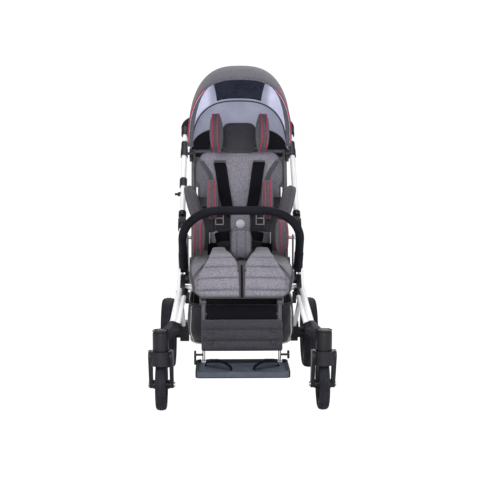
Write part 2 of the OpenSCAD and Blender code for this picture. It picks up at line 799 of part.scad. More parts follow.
module canopy_front() {
    color(grey) placed() difference() {
        union() {
            loft([for (g = [84, 90, 97, 104, 110, 117, 123, canopy_front_g])
                hood(g, canopy_hw, dome(g), 20)], true);
            both() web(canopy_hw - 3.6, canopy_hw, [[canopy_p.y, canopy_p.z, 15],
                [canopy_p.y + 76 * cos(124), canopy_p.z + 76 * sin(124), 12],
                [canopy_p.y + 74 * cos(93), canopy_p.z + 74 * sin(93), 10]]);
        }
        both() pin(150, 250, canopy_p, 6 + eps);
    }
}

module canopy_rear() {
    color(grey) placed() difference() {
        loft([for (g = [-24, -4, 16, 30, 46, 58, 70, 82, 92]) hood(g, canopy_hw - 7, dome(g) - 6, 20)], true);
        both() web(back_x, canopy_hw - 3, canopy_hub(0.4));
        on_back() both() rod([back_x, 0, back_l - 185], [back_x, 0, back_l + 90], back_r + 0.7);
    }
}

// head and trunk pads

module head_pad() {
    color(grey) placed() on_back() {
        translate([0, -27, back_l + 112]) rotate([90, 0, 0]) pad(66, 58, 40, 3.4);
        translate([-16, 8, back_l - 123]) cube([32, 6, 273]);
        translate([-16, -12, back_l + 90]) cube([32, 26, 40]);
        both() {
            translate([40, -19, back_l + 76]) cube([50, 8, 6]);
            translate([40, -19, back_l + 144]) cube([50, 8, 6]);
            translate([84, -15, back_l + 72]) cylinder(r = 5, h = 82);
        }
    }
}

module head_wing(s) {
    color(grey) placed() on_back() side(s) {
        difference() {
            union() {
                translate([84, -15, back_l + 84]) cylinder(r = 9, h = 58);
                translate([80, -44, back_l + 96]) cube([12, 30, 34]);
            }
            translate([84, -15, back_l + 60]) cylinder(r = 5 + eps, h = 100);
        }
        translate([91, -78, back_l + 114]) rotate([0, 0, 8]) side_pad(73, 48, 38, 3);
    }
}

module head_wing_left() { head_wing(-1); }
module head_wing_right() { head_wing(1); }

module trunk_pad(s) {
    color(grey) placed() on_back() side(s) {
        translate([107, -102, trunk_z + trunk_h / 2]) side_pad(72, 56, 40, 3);
        translate([118, -64, trunk_z]) cube([23, 16, trunk_h]);
        translate([133, -56, trunk_z]) cube([38, 8, trunk_h]);
        translate([166, -56, trunk_z]) cube([5, 61, trunk_h]);
        translate([160, 3.4, trunk_z]) cube([14, 5, trunk_h]);
    }
}

module trunk_pad_left() { trunk_pad(-1); }
module trunk_pad_right() { trunk_pad(1); }

// leg rest and footplate

module legrest_frame() {
    color(dark) placed() on_leg() difference() {
        union() {
            both() {
                rod([leg_x, 0, 0], [leg_x, 0, -150], leg_bar_r);
                pin(leg_x - 8.5, leg_x + 9.5, [0, 0, 0], 10);
            }
            pin(-leg_x, leg_x, [0, 0, -44], 6);
        }
        both() {
            pin(100, 180, [0, 0, 0], 5 + eps);
            rod([leg_x, 0, -36], [leg_x, 0, -170], 5.8);
        }
    }
}

function calf_ring(z, w, f) = concat(
    [for (u = [1, 0.95, 0.82, 0.6, 0.3, 0, -0.3, -0.6, -0.82, -0.95, -1])
        [u * w, calf_y - 5 - 22 * f * pow(1 - pow(abs(u), 6), 0.5), z]],
    [for (u = [-0.97, -0.5, 0, 0.5, 0.97]) [u * w, calf_y, z]]);

module calf_pad() {
    cloth_hw = leg_x - leg_bar_r - 3;
    color(dark) placed() on_leg() {
        translate([-cloth_hw, calf_y - 3, calf_z + calf_h - 4]) cube([2 * cloth_hw, 3, 54]);
        difference() {
            loft([for (i = [14 : -1 : 0])
                let (e = i == 0 || i == 14 ? 0.25 : 1, roll = abs(sin((i + 0.5) * 36)))
                calf_ring(calf_z + calf_h * i / 14, calf_hw - 4 * (1 - e), e * (0.72 + 0.28 * roll))]);
            for (x = [-stud_x, stud_x], z = stud_z)
                translate([x, calf_y - 19.3, z]) rotate([90, 0, 0]) cylinder(r = stud_r + eps, h = 20);
        }
    }
}

module snap_studs() {
    color(black) placed() on_leg() for (x = [-stud_x, stud_x], z = stud_z)
        translate([x, calf_y - 19.4, z]) rotate([90, 0, 0]) cylinder(r = stud_r, h = 11.5);
}

module footrest_tubes() {
    color(steel) placed() on_leg() {
        both() rod([leg_x, 0, -52], [leg_x, 0, -plate_s], 5.5);
        pin(-leg_x - 13, leg_x + 13, [0, 0, -plate_s], 5);
    }
}

// knob with a short stem out of a tube, at a height on the leg rest
module knob(stem, z, r) {
    pin(stem, plate_w / 2 + 2, [0, 0, z], 4);
    pin(plate_w / 2 + 1.5, plate_w / 2 + 9, [0, 0, z], r);
}

module footrest_knobs() {
    color(black) placed() on_leg() {
        both() difference() {
            knob(leg_x, 25 - plate_s, 15);
            rod([leg_x, 0, 0], [leg_x, 0, -plate_s], 5.5 + eps);
        }
        side(-1) knob(leg_x + 13, -plate_s, 11);
    }
}

// rounded outline of the footplate, drawn in from its edge
module plate_outline(inset, corner) {
    translate([0, plate_front + plate_d / 2])
        hull() for (x = [-1, 1], y = [-1, 1])
            translate([x * (plate_w / 2 - inset), y * (plate_d / 2 - inset)]) circle(r = corner);
}

module footplate() {
    color(black) placed() difference() {
        union() {
            difference() {
                translate([0, 0, plate_top - 12]) linear_extrude(height = 21) plate_outline(18, 18);
                translate([0, 0, plate_top]) linear_extrude(height = 21) plate_outline(22, 15);
            }
            for (x = [-118, 82]) {
                pin(x, x + 36, plate_h, 10);
                translate([x, plate_h.y - 26, plate_h.z - 9]) cube([36, 24, 12]);
            }
        }
        pin(-200, 200, plate_h, 5 + eps);
        both() translate([leg_x - 8, plate_h.y - 27, plate_top - 30]) cube([16, 40, 60]);
        for (x = [-54, 0, 54], y = [52, 138])
            translate([x, plate_front + y, plate_top - 30]) cylinder(r = 3, h = 60);
    }
}

module foot_straps() {
    t = 2.6;
    y = plate_front + 96;
    color(black) placed() both() translate([strap_x, y, plate_top])
        loft([for (g = [180 : -20 : 0])
            let (x = strap_r * cos(g), z = strap_h * sin(g), nx = t * cos(g), nz = t * sin(g))
            [[x, 13, z], [x + nx, 13, z + nz], [x + nx, -13, z + nz], [x, -13, z]]]);
}

main_tubes();
front_struts();
pivot_blocks();
cross_tube();
caster_housing_left();
caster_housing_right();
fold_sockets();
basket();
tube_clamp();
rear_legs();
rear_axle_beam();
rear_fittings();
rear_tyre_left();
rear_tyre_right();
rear_rim_left();
rear_rim_right();
brake_bar();
caster_fork_left();
caster_fork_right();
caster_axle_left();
caster_axle_right();
front_tyre_left();
front_tyre_right();
front_rim_left();
front_rim_right();
push_tubes();
push_fittings();
handle_bar();
handle_grip();
handle_fittings();
seat_frame();
seat_pan();
seat_cushion();
seat_mounts();
bumper_sockets();
bumper_bar();
hip_pad_left();
hip_pad_right();
pommel();
hip_belt();
belly_pad();
back_frame();
back_cushion();
side_wings();
harness();
canopy_mounts();
canopy_front();
canopy_rear();
head_pad();
head_wing_left();
head_wing_right();
trunk_pad_left();
trunk_pad_right();
legrest_frame();
calf_pad();
snap_studs();
footrest_tubes();
footrest_knobs();
footplate();
foot_straps();
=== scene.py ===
"""Dresses the special needs buggy: padding, cloth, straps, trim and finishes around its fixed frame."""

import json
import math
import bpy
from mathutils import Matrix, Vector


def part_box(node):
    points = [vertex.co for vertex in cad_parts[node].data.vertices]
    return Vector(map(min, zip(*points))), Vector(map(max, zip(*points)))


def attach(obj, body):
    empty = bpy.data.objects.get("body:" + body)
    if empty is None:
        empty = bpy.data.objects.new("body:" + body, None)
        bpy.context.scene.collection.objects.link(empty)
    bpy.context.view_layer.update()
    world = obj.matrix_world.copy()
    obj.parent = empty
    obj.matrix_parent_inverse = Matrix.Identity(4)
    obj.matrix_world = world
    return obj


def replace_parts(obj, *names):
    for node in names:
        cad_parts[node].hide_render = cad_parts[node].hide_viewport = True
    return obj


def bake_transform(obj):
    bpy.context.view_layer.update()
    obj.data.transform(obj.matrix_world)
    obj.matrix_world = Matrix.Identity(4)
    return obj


bl_info = {
    "name": "Special needs buggy",
    "version": (1, 0, 0),
    "blender": (4, 5, 0),
    "location": "3D View > Sidebar > Buggy",
    "description": "Builds the soft pieces, trim and finishes of a special needs buggy around its frame",
    "category": "Object",
}

import bmesh
import bpy
from bpy.props import FloatProperty, FloatVectorProperty, PointerProperty
from mathutils import Matrix, Vector

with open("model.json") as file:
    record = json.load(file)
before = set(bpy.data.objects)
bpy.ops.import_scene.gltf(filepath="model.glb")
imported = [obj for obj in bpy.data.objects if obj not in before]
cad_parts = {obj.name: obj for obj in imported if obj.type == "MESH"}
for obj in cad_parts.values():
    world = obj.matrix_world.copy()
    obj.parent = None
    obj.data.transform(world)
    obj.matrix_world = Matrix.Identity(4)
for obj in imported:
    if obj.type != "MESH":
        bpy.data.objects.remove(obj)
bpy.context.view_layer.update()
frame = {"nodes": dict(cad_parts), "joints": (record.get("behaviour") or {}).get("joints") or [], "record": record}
NODES = frame["nodes"]
JOINTS = {j["name"]: j for j in frame["joints"]}
MM = 0.001
TURN = 2 * math.pi
QUARTER = TURN / 4
SIDES = (("left", Matrix.Diagonal((-1, 1, 1, 1))), ("right", Matrix.Identity(4)))
HANDS = (("left", -1), ("right", 1))


# Places taken from the frame

def pivot(joint):
    """Where a hinge lies at rest."""
    return Vector(JOINTS[joint]["pos_m"])


BACK_UP = Vector(JOINTS["head_height"]["axis"])
LEG_DOWN = Vector(JOINTS["footrest_height"]["axis"])
BACK_LEAN = math.atan2(BACK_UP.y, BACK_UP.z)
LEG_LEAN = math.atan2(-LEG_DOWN.y, -LEG_DOWN.z)
BACK = Matrix.Translation(pivot("back_recline")) @ Matrix.Rotation(-BACK_LEAN, 4, "X")
LEG = Matrix.Translation(pivot("legrest_angle")) @ Matrix.Rotation(-LEG_LEAN, 4, "X")
LEAN = BACK.to_3x3().to_4x4()
CANOPY = pivot("canopy_fold")
SEAT_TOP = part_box("seat_pan")[1].z
SEAT_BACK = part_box("seat_cushion")[1].y
SEAT_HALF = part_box("seat_cushion")[1].x
PLATE_LOW, PLATE_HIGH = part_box("footplate")
PLATE_RIM = Vector((0.006, 0.042, 0.005))


def seat_point(x, y, z):
    """A point from the middle of the cushion's rear edge on the seat pan, in millimetres."""
    return Vector((x * MM, SEAT_BACK + y * MM, SEAT_TOP + z * MM))


def back_point(x, y, z):
    """A point on the back: across, out of the back and up along it, in millimetres."""
    return BACK @ Vector((x * MM, y * MM, z * MM))


def leg_point(x, y, z):
    """A point on the leg rest, with z up along its bars, in millimetres."""
    return LEG @ Vector((x * MM, y * MM, z * MM))


def at_seat(x, y, z):
    """A matrix at a point of the seat."""
    return Matrix.Translation(seat_point(x, y, z))


def at_back(x, y, z):
    """A matrix at a point of the back, leaning with it."""
    return Matrix.Translation(back_point(x, y, z)) @ LEAN


# What a user would change

def colour(name, what, default):
    """A colour property."""
    return FloatVectorProperty(name=name, description=what, subtype="COLOR", size=3, min=0.0, max=1.0, default=default)


def length(name, what, default):
    """A length property in metres."""
    return FloatProperty(name=name, description=what, unit="LENGTH", min=0.0, default=default)


class BuggyColours(bpy.types.PropertyGroup):
    """Colours of the buggy's cloth, trim and frame."""

    panel: colour("Panel cloth", "Light melange cloth of the seat and back", (0.243, 0.232, 0.276))
    side: colour("Side cloth", "Darker melange cloth of the pads and sides", (0.086, 0.083, 0.1))
    calf: colour("Calf cloth", "Dark cloth of the calf pad and the basket", (0.05, 0.048, 0.06))
    hood: colour("Hood cloth", "Outer cloth of the canopy", (0.116, 0.113, 0.138))
    lining: colour("Lining", "Pale lining of the canopy", (0.74, 0.76, 0.98))
    window: colour("Window", "Dark roof window of the canopy", (0.028, 0.031, 0.05))
    binding: colour("Binding", "Dark tape along the cushion edges", (0.04, 0.039, 0.048))
    piping: colour("Piping", "Crimson piping of the pads and canopy", (0.33, 0.008, 0.045))
    webbing: colour("Webbing", "Straps and belts", (0.003, 0.003, 0.0055))
    paint: colour("Tube paint", "White gloss paint of the tubes", (0.83, 0.83, 0.85))
    plastic: colour("Black plastic", "Moulded fittings", (0.0085, 0.0085, 0.012))
    slate: colour("Footplate", "Slate plastic of the footplate", (0.052, 0.062, 0.083))
    rubber: colour("Rubber", "Tyres", (0.009, 0.0092, 0.0135))
    floor: colour("Floor", "Pale studio floor", (0.86, 0.86, 0.87))


class BuggySizes(bpy.types.PropertyGroup):
    """Sizes of the buggy's trim."""

    piping: length("Piping radius", "Radius of the crimson piping", 0.0027)
    binding: length("Binding width", "Width of the tape along the seat cushion's edges", 0.012)
    cloth: length("Cloth thickness", "Thickness of the canopy cloth", 0.0014)
    webbing: length("Webbing thickness", "Thickness of the straps", 0.0026)
    puff: length("Padding swell", "Most that the padding swells between its seams", 0.008)


# Shader maths

class Value:
    """A shader socket that takes part in Python sums."""

    def __init__(self, finish, socket):
        self.finish = finish
        self.socket = socket

    def sums(self, operation, a, b):
        return self.finish.node("ShaderNodeMath", {"operation": operation}, {0: a, 1: b})

    def __add__(self, other):
        return self.sums("ADD", self, other)

    __radd__ = __add__

    def __sub__(self, other):
        return self.sums("SUBTRACT", self, other)

    def __mul__(self, other):
        return self.sums("MULTIPLY", self, other)

    def other(self, out):
        """Another output of the same node."""
        return Value(self.finish, self.socket.node.outputs[out])


class Finish:
    """One material under construction."""

    def __init__(self, name, base, roughness, fixed):
        self.base = base
        self.material = bpy.data.materials.new(name)
        self.material.use_nodes = True
        self.material.diffuse_color = rgba(base)
        self.tree = self.material.node_tree
        self.shader = self.tree.nodes["Principled BSDF"]
        for socket, value in {"Base Color": rgba(base), "Roughness": roughness, **fixed}.items():
            self.shader.inputs[socket].default_value = value

    def node(self, kind, settings=None, sockets=None, out=0):
        """A new node with its settings, then its sockets' values or links."""
        made = self.tree.nodes.new(kind)
        for key, value in (settings or {}).items():
            setattr(made, key, value)
        for key, value in (sockets or {}).items():
            if isinstance(value, Value):
                self.tree.links.new(value.socket, made.inputs[key])
            else:
                made.inputs[key].default_value = value
        return Value(self, made.outputs[out])

    def place(self):
        """Object coordinates."""
        return self.node("ShaderNodeTexCoord", out="Object")

    def axes(self):
        """Object coordinates as three values."""
        x = self.node("ShaderNodeSeparateXYZ", sockets={0: self.place()})
        return x, x.other(1), x.other(2)

    def layer(self, name):
        """A number stored on the mesh."""
        return self.node("ShaderNodeAttribute", {"attribute_name": name}, out="Fac")

    def sine(self, value):
        return self.node("ShaderNodeMath", {"operation": "SINE"}, {0: value})

    def ramp(self, value, low, high):
        """0 at low, 1 at high, held there beyond them."""
        gain = 1 / (high - low)
        return self.node("ShaderNodeMath", {"operation": "MULTIPLY_ADD", "use_clamp": True},
                         {0: value, 1: gain, 2: -low * gain})

    def noise(self, scale, detail=2.0, stretch=(1.0, 1.0, 1.0)):
        """Noise over the object, stretched along its axes."""
        where = self.node("ShaderNodeVectorMath", {"operation": "MULTIPLY"}, {0: self.place(), 1: stretch})
        return self.node("ShaderNodeTexNoise", None, {"Vector": where, "Scale": scale, "Detail": detail})

    def cells(self, scale):
        return self.node("ShaderNodeTexVoronoi", None, {"Vector": self.place(), "Scale": scale})

    def mix(self, factor, a, b):
        """A colour between two colours."""
        a, b = (c if isinstance(c, Value) else rgba(c) for c in (a, b))
        return self.node("ShaderNodeMix", {"data_type": "RGBA"}, {0: factor, 6: a, 7: b}, out=2)

    def tint(self, factor, span, shades):
        """The base colour in two shades, mixed as a factor goes over a span."""
        return self.mix(self.ramp(factor, *span), *(shade(self.base, by) for by in shades))

    def feed(self, socket, value):
        self.tree.links.new(value.socket, self.shader.inputs[socket])

    def done(self, colour, roughness, height, strength, distance):
        """The material with its colour, roughness and a bump on its normal."""
        bump = self.node("ShaderNodeBump", None, {"Strength": strength, "Distance": distance, "Height": height})
        for socket, value in (("Base Color", colour), ("Roughness", roughness), ("Normal", bump)):
            self.feed(socket, value)
        return self.material


def rgba(c):
    return (c[0], c[1], c[2], 1.0)


def shade(c, by):
    """A colour made lighter or darker."""
    return tuple(min(1.0, x * by) for x in c)


# Finishes

def melange_cloth(name, base, second):
    """Woven two-tone cloth; the mesh layer tone turns it into the second colour."""
    f = Finish(name, base, 0.92, {"Sheen Weight": 0.18, "Sheen Roughness": 0.5, "Specular IOR Level": 0.25})
    x, y, z = f.axes()
    threads = TURN / 0.0017
    weave = f.sine((x + z * 0.62) * threads) * f.sine((y - z * 0.62) * threads)
    fibre = f.noise(620, 3.0, (1.0, 1.0, 0.28)) + f.noise(560, 3.0, (0.3, 0.6, 1.0))
    fleck = f.ramp(fibre, 0.78, 1.24)
    yarn = f.mix(fleck, shade(base, 0.45), f.tint(f.noise(9.0), (0.3, 0.7), (1.1, 1.28)))
    trim = f.mix(fleck, shade(second, 0.7), shade(second, 1.3))
    return f.done(f.mix(f.layer("tone"), yarn, trim), 0.84 + fleck * 0.12, weave * 0.5 + fibre * 0.7, 0.35, 0.0006)


def plain_cloth(name, base, glow=0.0):
    """Fine plain cloth with soft creases; the layer tone darkens it to black. glow is painted light: the cloth emits
    its own colour at that strength, standing in for light through thin cloth.
    """
    f = Finish(name, base, 0.86, {"Sheen Weight": 0.02, "Specular IOR Level": 0.15, "Emission Strength": glow})
    x, y, z = f.axes()
    threads = TURN / 0.0011
    weave = f.sine((x + z * 0.4) * threads) * f.sine((y - z * 0.7) * threads)
    crease_and_shade = f.noise(14.0, 3.0)
    # crease both bumps the cloth and paints its colour: darker in the hollows of the creases and lighter on their
    # crests, painted shade and painted light.
    seen = f.mix(f.layer("tone"), f.tint(crease_and_shade, (0.3, 0.72), (0.86, 1.06)), shade(base, 0.012))
    # Painted light: the cloth glows with its own colour at the strength glow, though it is no lamp.
    f.feed("Emission Color", seen)
    return f.done(seen, 0.8 + crease_and_shade * 0.12, weave * 0.25 + crease_and_shade * 2.0, 0.25, 0.0016)


def strap_webbing(name, base):
    """Ribbed webbing that follows the strap's own length and width."""
    f = Finish(name, base, 0.8, {"Sheen Weight": 0.0, "Specular IOR Level": 0.07})
    ribs, yarns = 150, 9
    rib = f.sine(f.layer("v") * (ribs * TURN))
    yarn = f.sine(f.layer("u") * (yarns * TURN))
    fuzz = f.noise(700)
    seen = f.tint(fuzz + rib * 0.12, (0.3, 0.75), (0.7, 1.9))
    return f.done(seen, 0.6 + fuzz * 0.2, rib * 0.5 + yarn * 0.4 + fuzz, 0.4, 0.0006)


def moulded_plastic(name, base, roughness=0.36, grain=900.0, rim=None):
    """Moulded plastic with fine spark grain and faint handling marks. rim is a box whose outside is black."""
    f = Finish(name, base, roughness, {"Specular IOR Level": 0.3})
    spark = f.noise(grain, 3.0)
    mark = f.noise(26.0, 4.0)
    seen = f.tint(mark, (0.35, 0.75), (0.9, 1.35))
    if rim:
        low, high = rim
        x, y, z = f.axes()
        for value, edge, way in ((x, low.x, -1), (x, high.x, 1), (y, high.y, 1), (z, low.z, -1)):
            seen = f.mix(f.ramp(value * way, edge * way, edge * way + 0.001), seen, shade(base, 0.12))
    return f.done(seen, roughness - 0.07 + mark * 0.14 + spark * 0.06, spark, 0.16, 0.0004)


def gloss_paint(name, base):
    """Powder paint under a clear coat, with faint orange peel and dust."""
    f = Finish(name, base, 0.3, {"Coat Weight": 0.35, "Coat Roughness": 0.12, "Specular IOR Level": 0.5})
    dust = f.noise(18.0, 4.0)
    return f.done(f.tint(dust, (0.4, 0.8), (1.0, 0.93)), 0.24 + dust * 0.12, f.noise(420.0), 0.05, 0.0005)


def tyre_rubber(name, base):
    """Matt rubber with a dusty bloom."""
    f = Finish(name, base, 0.72, {"Specular IOR Level": 0.2})
    dust = f.noise(34.0, 5.0)
    return f.done(f.tint(dust, (0.42, 0.78), (1.0, 2.6)), 0.56 + dust * 0.26, f.noise(520.0), 0.18, 0.0006)


def closed_foam(name, base):
    """Closed-cell foam grip with fine pores."""
    f = Finish(name, base, 0.62, {"Sheen Weight": 0.0, "Specular IOR Level": 0.12})
    wear = f.noise(22.0, 3.0)
    return f.done(f.tint(wear, (0.35, 0.75), (1.0, 1.9)), 0.5 + wear * 0.2, f.cells(620.0), 0.22, 0.0005)


def bare_metal(name, base):
    """Drawn metal with fine lines along the bar."""
    f = Finish(name, base, 0.32, {"Metallic": 1.0})
    line = f.noise(240.0, 3.0, (0.08, 1.0, 1.0))
    return f.done(f.tint(f.noise(20.0, 3.0), (0.3, 0.8), (1.0, 0.82)), 0.24 + line * 0.2, line, 0.08, 0.0003)


def roof_window(name, base):
    """Clear dark vinyl with a soft ripple."""
    f = Finish(name, base, 0.22, {"Specular IOR Level": 0.5})
    ripple = f.noise(16.0)
    return f.done(f.tint(ripple, (0.0, 1.0), (0.8, 1.8)), 0.2 + ripple * 0.16, ripple, 0.12, 0.004)


def piping_tape(name, base):
    """Rolled cord piping with a twill wrap."""
    f = Finish(name, base, 0.62, {"Sheen Weight": 0.15})
    x, y, z = f.axes()
    twill = f.sine((x + y + z) * (TURN / 0.0014))
    fuzz = f.noise(420.0)
    return f.done(f.tint(fuzz, (0.3, 0.7), (0.8, 1.2)), 0.55 + fuzz * 0.18, twill + fuzz, 0.25, 0.0004)


FINISH = {}


# Numbers

def spow(x, e):
    return math.copysign(abs(x) ** e, x)


def near(x, middle, width):
    """1 at the middle, falling away over a width."""
    return math.exp(-((x - middle) / width) ** 2)


def between(x, pairs):
    """A value read off straight lines through (x, value) pairs."""
    for (a, va), (b, vb) in zip(pairs, pairs[1:]):
        if x <= b:
            t = max(0.0, (x - a) / (b - a))
            return va + (vb - va) * t
    return pairs[-1][1]


def ease(t):
    t = min(1.0, max(0.0, t))
    return t * t * (3 - 2 * t)


def steps(a, b, count):
    """Even steps from a to b, both included."""
    return [a + i * (b - a) / count for i in range(count + 1)]


# Mesh tools

def piece(name, bm, body, finish, slot):
    """A new piece from a bmesh, riding on a body if one is named. The bmesh is used up."""
    mesh = bpy.data.meshes.new(name)
    bm.to_mesh(mesh)
    bm.free()
    mesh.shade_smooth()
    mesh.materials.append(FINISH[finish])
    made = bpy.data.objects.new(name, mesh)
    bpy.context.scene.collection.objects.link(made)
    if body:
        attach(made, body)
    return made


def fitting(name, bm, body, finish="plastic"):
    """A small fitting of moulded plastic."""
    return piece(name, bm, body, finish, "black_plastic")


def faced(bm):
    """The bmesh with its faces turned outward."""
    bmesh.ops.recalc_face_normals(bm, faces=bm.faces)
    return bm


def sheet_grid(across, along, place):
    """A grid laid out by place(u, v), with u and v kept as layers of the mesh."""
    bm = bmesh.new()
    bmesh.ops.create_grid(bm, x_segments=across, y_segments=along, size=0.5)
    lu = bm.verts.layers.float.new("u")
    lv = bm.verts.layers.float.new("v")
    for vert in bm.verts:
        u, v = vert.co.x + 0.5, vert.co.y + 0.5
        vert[lu], vert[lv] = u, v
        vert.co = place(u, v)
    return bm


def tube_grid(around, along, place):
    """A grid closed round on itself along u, with both ends filled."""
    bm = sheet_grid(around, along, lambda u, v: place(u if u < 0.999 else 0.0, v))
    bmesh.ops.remove_doubles(bm, verts=bm.verts, dist=1e-6)
    rim = [e for e in bm.edges if e.is_boundary]
    ends = bmesh.ops.holes_fill(bm, edges=rim, sides=0)["faces"]
    bmesh.ops.triangulate(bm, faces=ends, quad_method="BEAUTY", ngon_method="BEAUTY")
    return faced(bm)


def box_grid(cuts):
    """A cube of half size 1 cut into cells along each axis."""
    bm = bmesh.new()
    bmesh.ops.create_cube(bm, size=2.0)
    for axis, count in enumerate(cuts):
        edges = [e for e in bm.edges if abs((e.verts[1].co - e.verts[0].co).normalized()[axis]) > 0.9]
        bmesh.ops.subdivide_edges(bm, edges=edges, cuts=count, use_grid_fill=True)
    return bm


def block(size, bevel, place):
    """A rounded block, size in millimetres, put in place by a matrix."""
    bm = bmesh.new()
    bmesh.ops.create_cube(bm, size=1.0)
    bmesh.ops.scale(bm, vec=Vector(size) * MM, verts=bm.verts)
    bmesh.ops.bevel(bm, geom=bm.edges[:], offset=bevel * MM, offset_type="OFFSET", segments=3, profile=0.5,
                    affect="EDGES", material=-1, clamp_overlap=True)
    bmesh.ops.transform(bm, matrix=place, verts=bm.verts)
    return bm


def turned(profile, place, spins=40):
    """A turned piece: profile of (radius, height) in millimetres, spun about the matrix's Z axis."""
    bm = bmesh.new()
    verts = [bm.verts.new((r * MM, 0.0, h * MM)) for r, h in profile]
    edges = [bm.edges.new(pair) for pair in zip(verts, verts[1:])]
    bmesh.ops.spin(bm, geom=verts + edges, cent=(0, 0, 0), axis=(0, 0, 1), dvec=(0, 0, 0), angle=TURN,
                   steps=spins, use_merge=True, use_duplicate=False)
    bmesh.ops.remove_doubles(bm, verts=bm.verts, dist=1e-6)
    faced(bm)
    bmesh.ops.transform(bm, matrix=place, verts=bm.verts)
    return bm


def joined(*parts):
    """Several bmeshes as one. They are used up."""
    bm = bmesh.new()
    for part in parts:
        mesh = bpy.data.meshes.new("part")
        part.to_mesh(mesh)
        part.free()
        bm.from_mesh(mesh)
        bpy.data.meshes.remove(mesh)
    return bm


def smooth_path(points, count):
    """Points along a smooth curve through the given ones."""
    p = [points[0] * 2 - points[1], *points, points[-1] * 2 - points[-2]]
    made = []
    for i in range(1, len(p) - 2):
        a, b, c, d = p[i - 1:i + 3]
        for j in range(count):
            t = j / count
            made.append(0.5 * (2 * b + (c - a) * t + (2 * a - 5 * b + 4 * c - d) * t * t
                               + (3 * b - a - 3 * c + d) * t * t * t))
    return made + [points[-1].copy()]


def cords(name, routes, radius, body, finish, slot="grey_fabric", closed=False):
    """Round cords along routes of points, as one piece."""
    curve = bpy.data.curves.new("cord", "CURVE")
    curve.dimensions = "3D"
    curve.bevel_depth = radius
    curve.bevel_resolution = 3
    curve.use_fill_caps = True
    for route in routes:
        spline = curve.splines.new("POLY")
        spline.points.add(len(route) - 1)
        for knot, p in zip(spline.points, route):
            knot.co = (*p, 1.0)
        spline.use_cyclic_u = closed
    holder = bpy.data.objects.new("cord", curve)
    mesh = bpy.data.meshes.new_from_object(holder)
    bpy.data.objects.remove(holder)
    bpy.data.curves.remove(curve)
    bm = bmesh.new()
    bm.from_mesh(mesh)
    bpy.data.meshes.remove(mesh)
    return piece(name, bm, body, finish, slot)


def strap_bm(stations, across, count, thickness):
    """Flat webbing through stations of (middle, half width vector), thickened on both sides."""
    mids, halves = (smooth_path([Vector(s[i]) for s in stations], count) for i in (0, 1))
    last = len(mids) - 1

    def place(u, v):
        i = round(v * last)
        return mids[i] + halves[i] * (2 * u - 1)

    bm = faced(sheet_grid(across, last, place))
    bmesh.ops.solidify(bm, geom=bm.faces[:], thickness=thickness)
    return bm


def layer_values(made, name, values):
    """Stores one number per vertex on a piece."""
    store = made.data.attributes.new(name, "FLOAT", "POINT")
    store.data.foreach_set("value", values)


def uv_of(made):
    """The u and v layers of a piece as a list of pairs."""
    found = []
    for name in ("u", "v"):
        values = [0.0] * len(made.data.vertices)
        made.data.attributes[name].data.foreach_get("value", values)
        found.append(values)
    return list(zip(*found))


def subdivided(made):
    """Rounds a piece off with one level of subdivision."""
    mod = made.modifiers.new("Smooth", "SUBSURF")
    mod.levels = mod.render_levels = 1


def thickened(made, depth, offset=-1.0):
    """Gives a sheet its thickness."""
    solid = made.modifiers.new("Thickness", "SOLIDIFY")
    solid.thickness = depth
    solid.offset = offset


def area_sheet(made, before=None):
    """Notes a sheet cut to its own area, given as a square. Calls before with the sheet, if before is
    given.
    """
    if before:
        before(made)


CLOTH = {"quality": 6, "mass": 0.25, "tension_stiffness": 18, "compression_stiffness": 18, "shear_stiffness": 8,
         "bending_stiffness": 0.4, "use_pressure": True, "uniform_pressure_force": 4.0, "vertex_group_mass": "seams"}
CLOTH_FRAMES = 20


def swell(made, held, cap):
    """Blows a closed piece up between the vertices that its seams hold, by cloth simulation."""
    scene = bpy.context.scene
    rest = [v.co.copy() for v in made.data.vertices]
    group = made.vertex_groups.new(name="seams")
    group.add(held, 1.0, "REPLACE")
    cloth = made.modifiers.new("Cloth", "CLOTH")
    for key, value in CLOTH.items():
        setattr(cloth.settings, key, value)
    cloth.settings.effector_weights.gravity = 0.0
    cloth.point_cache.frame_start = 1
    cloth.point_cache.frame_end = CLOTH_FRAMES
    for number in range(1, CLOTH_FRAMES + 1):
        scene.frame_set(number)
    shown = made.evaluated_get(bpy.context.evaluated_depsgraph_get())
    blown = [v.co.copy() for v in shown.data.vertices]
    made.modifiers.remove(cloth)
    made.vertex_groups.remove(group)
    scene.frame_set(1)
    for vert, old, new in zip(made.data.vertices, rest, blown):
        move = new - old
        far = move.length
        if far > 1e-7:
            vert.co = old + move * (cap * math.tanh(far / cap) / far)
    made.data.update()


def padding(made, body, node):
    """Puts a padded piece on its body, rounds it off with subdivision and hides the node that it stands for."""
    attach(made, body)
    subdivided(made)
    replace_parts(made, node)


# Box cushions: two faces, a gusset between them and a seam along each edge

def outline(angle, a, b, n):
    """A point of a rounded rectangle's edge, a by b half sizes."""
    c, s = math.cos(angle), math.sin(angle)
    reach = (abs(c) ** n + abs(s) ** n) ** (-1 / n)
    return a * c * reach, b * s * reach


def cushion_bm(a, b, thick, gusset, n, cells=(22, 18, 4)):
    """A box cushion about the origin, its faces along Z, with the indices of its seams."""
    bm = box_grid(cells)
    held = []
    for vert in bm.verts:
        x, y, z = vert.co
        ring = max(abs(x), abs(y))
        ex, ey = outline(math.atan2(y, x), a, b, n)
        on_face = abs(z) > 0.999
        out = ring if on_face else 1.0 + 0.035 * (1 - z * z)
        crown = gusset + (thick / 2 - gusset) * max(0.0, 1 - ring ** 2.4) ** 0.62
        height = math.copysign(crown, z) if on_face else z * gusset
        vert.co = Vector((ex * out, ey * out, height)) * MM
        if on_face and ring > 0.999:
            held.append(vert.index)
    return bm, held


def seam_routes(place, a, b, gusset, n, out=1.012):
    """Closed lines just outside a cushion's two seams."""
    turns = [TURN * i / 72 for i in range(72)]
    return [[place @ (Vector((*(q * out for q in outline(t, a, b, n)), h)) * MM) for t in turns]
            for h in (-gusset, gusset)]


